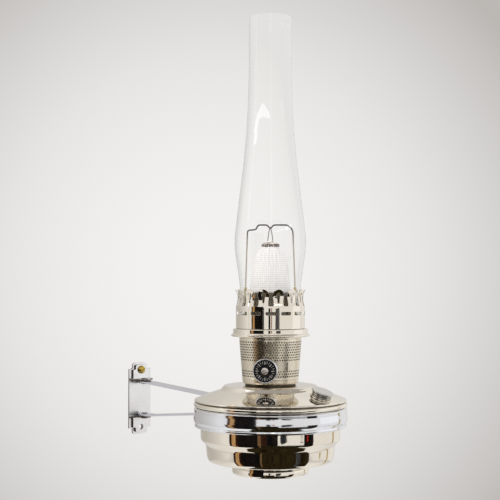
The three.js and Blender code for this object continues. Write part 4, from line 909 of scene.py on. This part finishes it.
def crown_sector(pitch):
    """From the middle of one petal to the middle of the next: a notch between two half petals,
    with half a keyhole at each side, and a slot below the notch."""
    half = pitch / 2
    petal, key_head, key_tail = 5.9, 2.1, 1.1
    line = rounded([(0, 23), (2.8, 23, 2.8), (2.75, 28, 2), (half - petal, 32.4, 1.5),
                    (half - petal, CROWN_TOP - petal)], 6)
    key_top = CROWN_TOP - 3.2
    for radius, level, angles in ((petal, CROWN_TOP - petal, range(171, 89, -9)),
                                  (key_head, key_top - key_head, range(90, 226, 15)),
                                  (key_tail, key_top - 10.5 + key_tail, range(180, 271, 22))):
        line += around(radius, angles, half, level)
    line = divided([*line, (half, 0)], 1.2, closed=False)
    bottom = [(half - pitch * step / 14, 0) for step in range(1, 14)]
    left = [(-x, y) for x, y in line[:0:-1]]
    slot = rounded([(0, 13.9), (4.9, 13.9, 0.8), (5.6, 15.6, 0.7), (4.9, 17.3, 0.8), (0, 17.3),
                    (-4.9, 17.3, 0.8), (-5.6, 15.6, 0.7), (-4.9, 13.9, 0.8), (0, 13.9)], 4)[:-1]
    return filled([*line, *bottom, *left], [divided(slot, 1.2)], 1.3)


def make_gallery():
    lathe("gallery_formed", [
        (32.4, 139.4), (39.6, 139.4, 0.8), (40.4, 140.4, 0.8), (40.2, 141.6, 0.6),
        (38.6, 142.4, 0.5), (38.3, 143.2, 0.5), (38.3, 147, 0.6), (37.6, 147.4, 0.4),
        (23.5, 147.4)], 6, LAMP, "nickel_plate", "gallery_unit", FINE_SIDES, wall=0.6)
    pitch = FULL_TURN * 34.6 / CROWN_PETALS
    crown = sectors("gallery_crown_formed", crown_sector(pitch), pitch, CROWN_PETALS,
                    lambda level: between(CROWN_WALL, level),
                    LAMP @ moved(0, 0, CROWN_FOOT) @ turned(FRAME_AZIMUTH, "Z"),
                    "nickel_plate", "gallery_unit")
    thicken(crown, 0.6, -1, 0.12)


# Mantle and its frame
MANTLE_PROFILE = [(20.9, 177.7), (20.9, 188.4), (20.2, 198.6), (18.3, 208.7), (15.4, 220.5),
                  (12.4, 227.5), (9.3, 231)]
MANTLE_SIDES = 288
MANTLE_FOLDS = 24
POST_REACH = 25.5
# Half of the cord's loop: across the frame, along it, up
CORD_STRAND = [(2.6, 0, 237.6), (2.2, 0.8, 241), (1.6, 1.4, 245.5), (0.9, 1.5, 248.6),
               (0.2, 0.9, 250.9)]


def make_mantle():
    lathe("mantle_base_formed", [(27.2, 148.7), (24.2, 148.7, 0.8), (19.6, 172.7, 3),
                                 (19.6, 180.7)], 5, LAMP, "sooted_cone", "mantle_unit", wall=1)
    for which, side in (("left", -1), ("right", 1)):
        lathe("mantle_post_formed_" + which, [
            (0, 149), (1.2, 149), (1.2, 185.5), (1.2, 186), (1.55, 186.4, 0.3),
            (1.55, 189.4, 0.4), (1, 190, 0.3), (0, 190)],
            4, MANTLE_FRAME @ moved(side * POST_REACH, 0, 0), "burner_brass", "mantle_unit", 24)
    route = rounded([
        (-POST_REACH, 190.3), (-23.5, 248.3, 2.4), (-14.6, 249, 2.6), (-12.6, 253.8, 2.2),
        (-3.4, 253.8, 1.6), (0, 249.8, 1), (3.4, 253.8, 1.6), (17.6, 253.8, 2.2),
        (22.6, 249.6, 3), (23.4, 245.6, 2), (POST_REACH, 190.3)], 7)
    wire("mantle_wire_formed", [(x, 0, z) for x, z in route], 0.75, 6, MANTLE_FRAME, "heated_wire",
         "mantle_unit")
    hang_mantle()
    gather_mantle()


def hang_mantle():
    """The knit tube: round where it grips its base, drawn into folds where it is gathered."""
    vertices, faces = turned_mesh(smoothed(MANTLE_PROFILE, 10), MANTLE_SIDES, closed=False)
    made = []
    for x, y, z in vertices:
        rise = max(0, min(1, (z - 203) / 28))
        angle = math.atan2(y, x)
        ripple = 0.042 * rise ** 1.4 * math.sin(MANTLE_FOLDS * angle + 0.8 * math.sin(3 * angle))
        slack = 0.012 * math.sin(5 * angle + z / 9) * min(1, (z - 177.7) / 12)
        swell = 1 + ripple + slack
        made.append((x * swell, y * swell, z + 0.25 * math.sin(MANTLE_FOLDS * angle) * rise))
    cloth = build("mantle_knit_tube", made, faces, LAMP, "mantle_knit", "mantle_unit",
                  closed=False, replaced="mantle")
    face_out(cloth)
    thicken(cloth, 0.5)


def gather_mantle():
    """The gathered collar, the thread wound round it and the cord that it hangs from."""
    outline = rounded([(0, 231.4), (8.4, 231.4), (8.9, 232.2, 0.8), (8.6, 234.2, 0.8),
                       (6.6, 235.4, 1.2), (3.4, 236.2, 0.8), (2.6, 237.3, 0.4), (0, 237.2)], 5)
    vertices, faces = turned_mesh(outline, MANTLE_SIDES)
    made = []
    for x, y, z in vertices:
        ripple = 0.07 * math.sin(MANTLE_FOLDS * math.atan2(y, x))
        swell = 1 + ripple * min(1, math.hypot(x, y) / 7)
        made.append((x * swell, y * swell, z))
    build("mantle_gather_cloth", made, faces, LAMP, "gathered_cloth", "mantle_unit",
          replaced="mantle_gather")
    windings = []
    for step in range(240):
        share = step / 239
        angle = FULL_TURN * 3 * share
        radius = 8.85 + 0.35 * math.sin(MANTLE_FOLDS * angle)
        windings.append((radius * math.cos(angle), radius * math.sin(angle), 231.9 + 2 * share))
    wire("mantle_gather_thread", windings, 0.3, 2, LAMP, "dark_thread", "mantle_unit")
    loop = [*[(-x, -y, z) for x, y, z in CORD_STRAND], (0, 0, 251.35), *CORD_STRAND[::-1]]
    wire("mantle_cord_looped", smoothed(loop, 6), 0.42, 3, MANTLE_FRAME, "dark_thread",
         "mantle_unit", "mantle_cord")


# Chimney: shares of the bulb's radius and of the length
CHIMNEY = SimpleNamespace(foot=147.7, length=321.3, bulb=36.7, wall=1.9)
CHIMNEY_PROFILE = [
    (0.883, 0), (0.878, 0.014), (0.856, 0.032), (0.846, 0.07), (0.853, 0.111), (0.869, 0.1475),
    (0.943, 0.208), (0.989, 0.244), (1, 0.2885), (0.959, 0.333), (0.853, 0.436), (0.763, 0.5195),
    (0.69, 0.606), (0.666, 0.645), (0.632, 0.72), (0.612, 0.7887), (0.604, 0.85), (0.601, 0.92),
    (0.599, 1)]


def make_chimney():
    outside = smoothed([(out * CHIMNEY.bulb, CHIMNEY.foot + up * CHIMNEY.length)
                        for out, up in CHIMNEY_PROFILE], 6)
    rim = (outside[-1][0] - 0.1, CHIMNEY.foot + CHIMNEY.length, 0.5)
    lathe("chimney_blown", [*outside, rim, *offset(outside, CHIMNEY.wall)[::-1]], 4, LAMP,
          "clear_glass", "chimney_unit", 320, crease=50, replaced="chimney")


# Floor, world, lights and camera
FLOOR_RADIUS = 3.4
FLOOR_LEVEL = -1.15


def stage_mesh(name, vertices, faces, material):
    mesh = bpy.data.meshes.new(name)
    mesh.from_pydata(vertices, [], faces)
    mesh.materials.append(material)
    mesh.shade_smooth()
    stand = new_object(name, mesh)
    return stand


def make_floor():
    material = new_material("pale_floor", plaster, (0.84, 0.83, 0.815), (0.88, 0.872, 0.86))
    rim = [(*point, FLOOR_LEVEL)
           for point in ring_of(FLOOR_RADIUS, ROUND_SIDES, 0, -LAMP_REACH * MM)]
    stage_mesh("floor", rim, [tuple(range(ROUND_SIDES))], material)


def make_world():
    """A pale room: camera and glass see it fall off round the photograph's middle."""
    world = bpy.context.scene.world = assign(bpy.data.worlds.new("room"), use_nodes=True)
    tree = world.node_tree
    direction = add(tree, "ShaderNodeTexCoord").outputs["Generated"]

    def towards(heading, rise):
        """How squarely a direction looks to a heading, from -1 to 1."""
        aim = Vector((math.cos(heading), math.sin(heading), rise)).normalized()
        return add(tree, "ShaderNodeVectorMath", {0: direction, 1: aim},
                   operation="DOT_PRODUCT").outputs["Value"]

    heading = math.radians(CAMERA_HEADING + 1.8)
    facing = towards(heading, math.tan(math.radians(CAMERA_PITCH - 1)))
    fall = add(tree, "ShaderNodeValToRGB", {0: spread(facing, 0, 1, 1, 0.75)})
    stops = [(0, (0.896, 0.888, 0.871)), (0.07, (0.795, 0.782, 0.764)),
             (0.145, (0.645, 0.63, 0.615)), (0.22, (0.5, 0.475, 0.455)),
             (0.45, (0.62, 0.605, 0.59)), (1, (0.8, 0.79, 0.775))]
    ramp = fall.color_ramp.elements
    while len(ramp) < len(stops):
        ramp.new(0.5)
    for element, (position, colour) in zip(ramp, stops):
        assign(element, position=position, color=(*colour, 1))
    path = add(tree, "ShaderNodeLightPath").outputs
    through = maths("MAXIMUM", path["Is Camera Ray"], path["Is Transmission Ray"])
    side = spread(towards(heading + 0.5, -0.2), 0, 1, 0.4, 1)
    walls = mixed(side, (0.96, 0.95, 0.935), (0.56, 0.54, 0.51))
    refracted = mixed(path["Is Transmission Ray"], fall.outputs["Color"], (0.76, 0.75, 0.735),
                      blend_type="LIGHTEN")
    shown = mixed(through, walls, refracted)
    unlit = maths("MAXIMUM", through, path["Is Glossy Ray"])
    colour = mixed(unlit, (0.74, 0.745, 0.75), shown)
    feed(tree.nodes["Background"], {"Color": colour})


# Each light's place, size, power and colour
LIGHTS = {
    "window_left": ((-2.3, 0.1, 0.9), (1.2, 1.8), 26, (1, 0.99, 0.97)),
    "window_right": ((1.7, -2.1, 0.8), (1, 1.6), 20, (0.97, 0.98, 1)),
    "ceiling": ((-0.4, -0.6, 2.4), (1.8, 1.8), 24, (1, 1, 1)),
}
LIGHTS_AIM = (0, -0.18, 0.1)


def look_along(thing, location, direction):
    thing.location = location
    thing.rotation_euler = direction.to_track_quat("-Z", "Y").to_euler()


def make_lights():
    for name, (location, size, power, colour) in LIGHTS.items():
        data = assign(bpy.data.lights.new(name, "AREA"), shape="RECTANGLE", size=size[0],
                      size_y=size[1], energy=power, color=colour)
        lamp = new_object(name, data)
        look_along(lamp, location, Vector(LIGHTS_AIM) - Vector(location))
        lamp.visible_camera = lamp.visible_glossy = lamp.visible_transmission = False


def make_camera():
    data = assign(bpy.data.cameras.new("camera"), lens=CAMERA_LENS, sensor_width=SENSOR_WIDTH)
    camera = new_object("camera", data)
    heading, pitch = math.radians(CAMERA_HEADING), math.radians(CAMERA_PITCH)
    look_along(camera, CAMERA_PLACE,
               Vector((math.cos(heading), math.sin(heading), math.tan(pitch))))
    bpy.context.scene.camera = camera


# Cards, which only show in reflections
# Each colour's two tones, and its strength if it isn't 1
CARD_COLOURS = {
    "dark": ((0.004, 0.004, 0.005), (0.012, 0.009, 0.007)),
    "umber": ((0.02, 0.008, 0.005), (0.05, 0.018, 0.01)),
    "brown": ((0.16, 0.09, 0.045), (0.24, 0.15, 0.08)),
    "olive": ((0.01, 0.007, 0.003), (0.035, 0.026, 0.01)),
    "tan": ((0.62, 0.37, 0.17), (0.42, 0.24, 0.1)),
    "grey": ((0.02, 0.022, 0.028), (0.09, 0.09, 0.1)),
    "red": ((0.6, 0.03, 0.02), (0.3, 0.03, 0.02)),
    "gold": ((0.5, 0.36, 0.06), (0.36, 0.25, 0.05)),
    "rust": ((0.3, 0.12, 0.07), (0.6, 0.4, 0.3)),
    "bright": ((1, 1, 1), (0.97, 0.98, 1), 5),
    "ceiling": ((0.42, 0.4, 0.38), (0.47, 0.45, 0.43)),
    "faint": ((1, 1, 1), (0.9, 0.92, 0.95), 2.2),
    "pale": ((1, 1, 1), (0.97, 0.98, 1), 1.15),
}
CARD_REACH = 1.3


def strip(start, end, low, high):
    return [(start, low, high), (end, low, high)]


# Each card's name, colour, outline and place. An upright card's outline is of stations of (degrees
# to the right of the camera, as the lamp sees it, low level, high level), and its place is how far
# from the lamp it stands, if that isn't CARD_REACH. A flat card's outline is of corners of (towards
# the camera, right), from the lamp's axis, and its place is its level.
CARDS = [
    ("edge_line", "umber", strip(-68.5, -64, -1.12, -0.09)),
    ("tan_board", "tan", strip(-64, -57, -1.12, -0.09)),
    ("brown_board", "umber", strip(-57, -53, -1.12, -0.09)),
    ("edge_line", "umber", strip(-64.5, -60, -0.09, 0.45)),
    ("tan_board", "tan", strip(-60, -53, -0.09, 0.45)),
    ("brown_board", "umber", strip(-53, -49, -0.09, 0.45)),
    ("tall_dark", "dark", strip(-53, -20, -1.12, 0.45)),
    ("brown_gap", "brown", strip(-20, -15, -0.345, -0.11)),
    ("umber_post", "umber", strip(-15, -6, -0.345, -0.11)),
    ("camera_dark", "dark", strip(-6, 11.5, -0.345, -0.11)),
    ("camera_line", "dark", strip(-6, 0, -0.1, 0.15)),
    ("camera_rust", "rust", strip(2.5, 5.5, 0, 0.15)),
    ("arch_window", "bright", [(-80, 0.3496, 0.357), (-66, 0.3549, 0.3761), (-56, 0.369, 0.3803),
                               (-38, 0.3745, 0.388), (-16, 0.3745, 0.384), (-2, 0.374, 0.379)],
     0.3),
    ("bulb_window", "bright", [(8, 0.2475, 0.2505), (16, 0.2545, 0.258), (30, 0.26, 0.264),
                               (54, 0.26, 0.264), (72, 0.256, 0.26)], 0.3),
    ("small_window", "faint", strip(56, 64, 0.37, 0.387), 0.3),
    ("ceiling", "ceiling", [(-0.9, -0.78), (1.2, -0.78), (1.2, 1.5), (-0.9, 1.5)], 1.5),
    ("left_streak", "faint", strip(-84, -78, 0.5, 0.9)),
    ("middle_streak", "faint", strip(2, 7, 0.5, 0.9)),
    ("right_window", "pale", strip(76, 116, -0.1, 0.5)),
    ("right_dark", "grey", [(15, -0.2, 0), (18, -0.29, 0.11), (24, -0.22, 0.12),
                            (29, -0.16, 0.12), (31, -0.05, 0.11)]),
    ("brown_spot", "umber", strip(48, 52.6, -0.235, -0.205)),
    ("far_right_dark", "dark", strip(54.5, 72, -0.345, -0.13)),
    ("red_line", "red", strip(59.8, 61.8, -0.198, -0.165), 1.25),
    ("gold_line", "gold", strip(119, 123, -0.9, 0)),
    ("gold_dot", "gold", strip(96, 99, -0.42, -0.37)),
    ("low_front", "olive", strip(-58, 72, -1.14, -0.345), 1.35),
    ("low_brown", "brown", strip(-17.5, -15.5, -1.12, -0.345), 1.25),
    ("low_grey", "grey", strip(46, 54, -1.12, -0.345), 1.25),
    ("low_floor", "olive", [(-0.45, -0.3), (1.36, -0.7), (1.36, 1.2), (-0.45, 0.5)], -1.12),
]


def upright(stations, reach=CARD_REACH):
    start, end = stations[0][0], stations[-1][0]
    lows = [(right, low) for right, low, _ in stations]
    highs = [(right, high) for right, _, high in stations]
    steps = max(4, math.ceil((end - start) / 3))
    vertices = []
    for step in range(steps + 1):
        right = start + (end - start) * step / steps
        angle = CAMERA_BEARING + math.radians(right)
        x, y = reach * math.cos(angle), reach * math.sin(angle) - LAMP_REACH * MM
        vertices += [(x, y, between(lows, right)), (x, y, between(highs, right))]
    return vertices, [(2 * i, 2 * i + 2, 2 * i + 3, 2 * i + 1) for i in range(steps)]


def flat(corners, level):
    towards = Vector((math.cos(CAMERA_BEARING), math.sin(CAMERA_BEARING)))
    right = Vector((-towards.y, towards.x))
    middle = Vector((0, -LAMP_REACH * MM))
    vertices = [(*(middle + towards * ahead + right * across), level) for ahead, across in corners]
    return vertices, [tuple(range(len(vertices)))]


def make_cards():
    colours = {name: new_material(name + "_card", emitter, *tones)
               for name, tones in CARD_COLOURS.items()}
    for name, colour, outline, *where in CARDS:
        shape = upright if len(outline[0]) == 3 else flat
        card = stage_mesh(name, *shape(outline, *where), colours[colour])
        for kind in ("camera", "diffuse", "transmission", "volume_scatter", "shadow"):
            setattr(card, "visible_" + kind, False)


make_camera()
make_bracket()
make_font()
make_filler()
make_burner()
make_gallery()
make_mantle()
make_chimney()
make_floor()
make_cards()
make_world()
make_lights()
bpy.context.scene.view_settings.view_transform = "Standard"
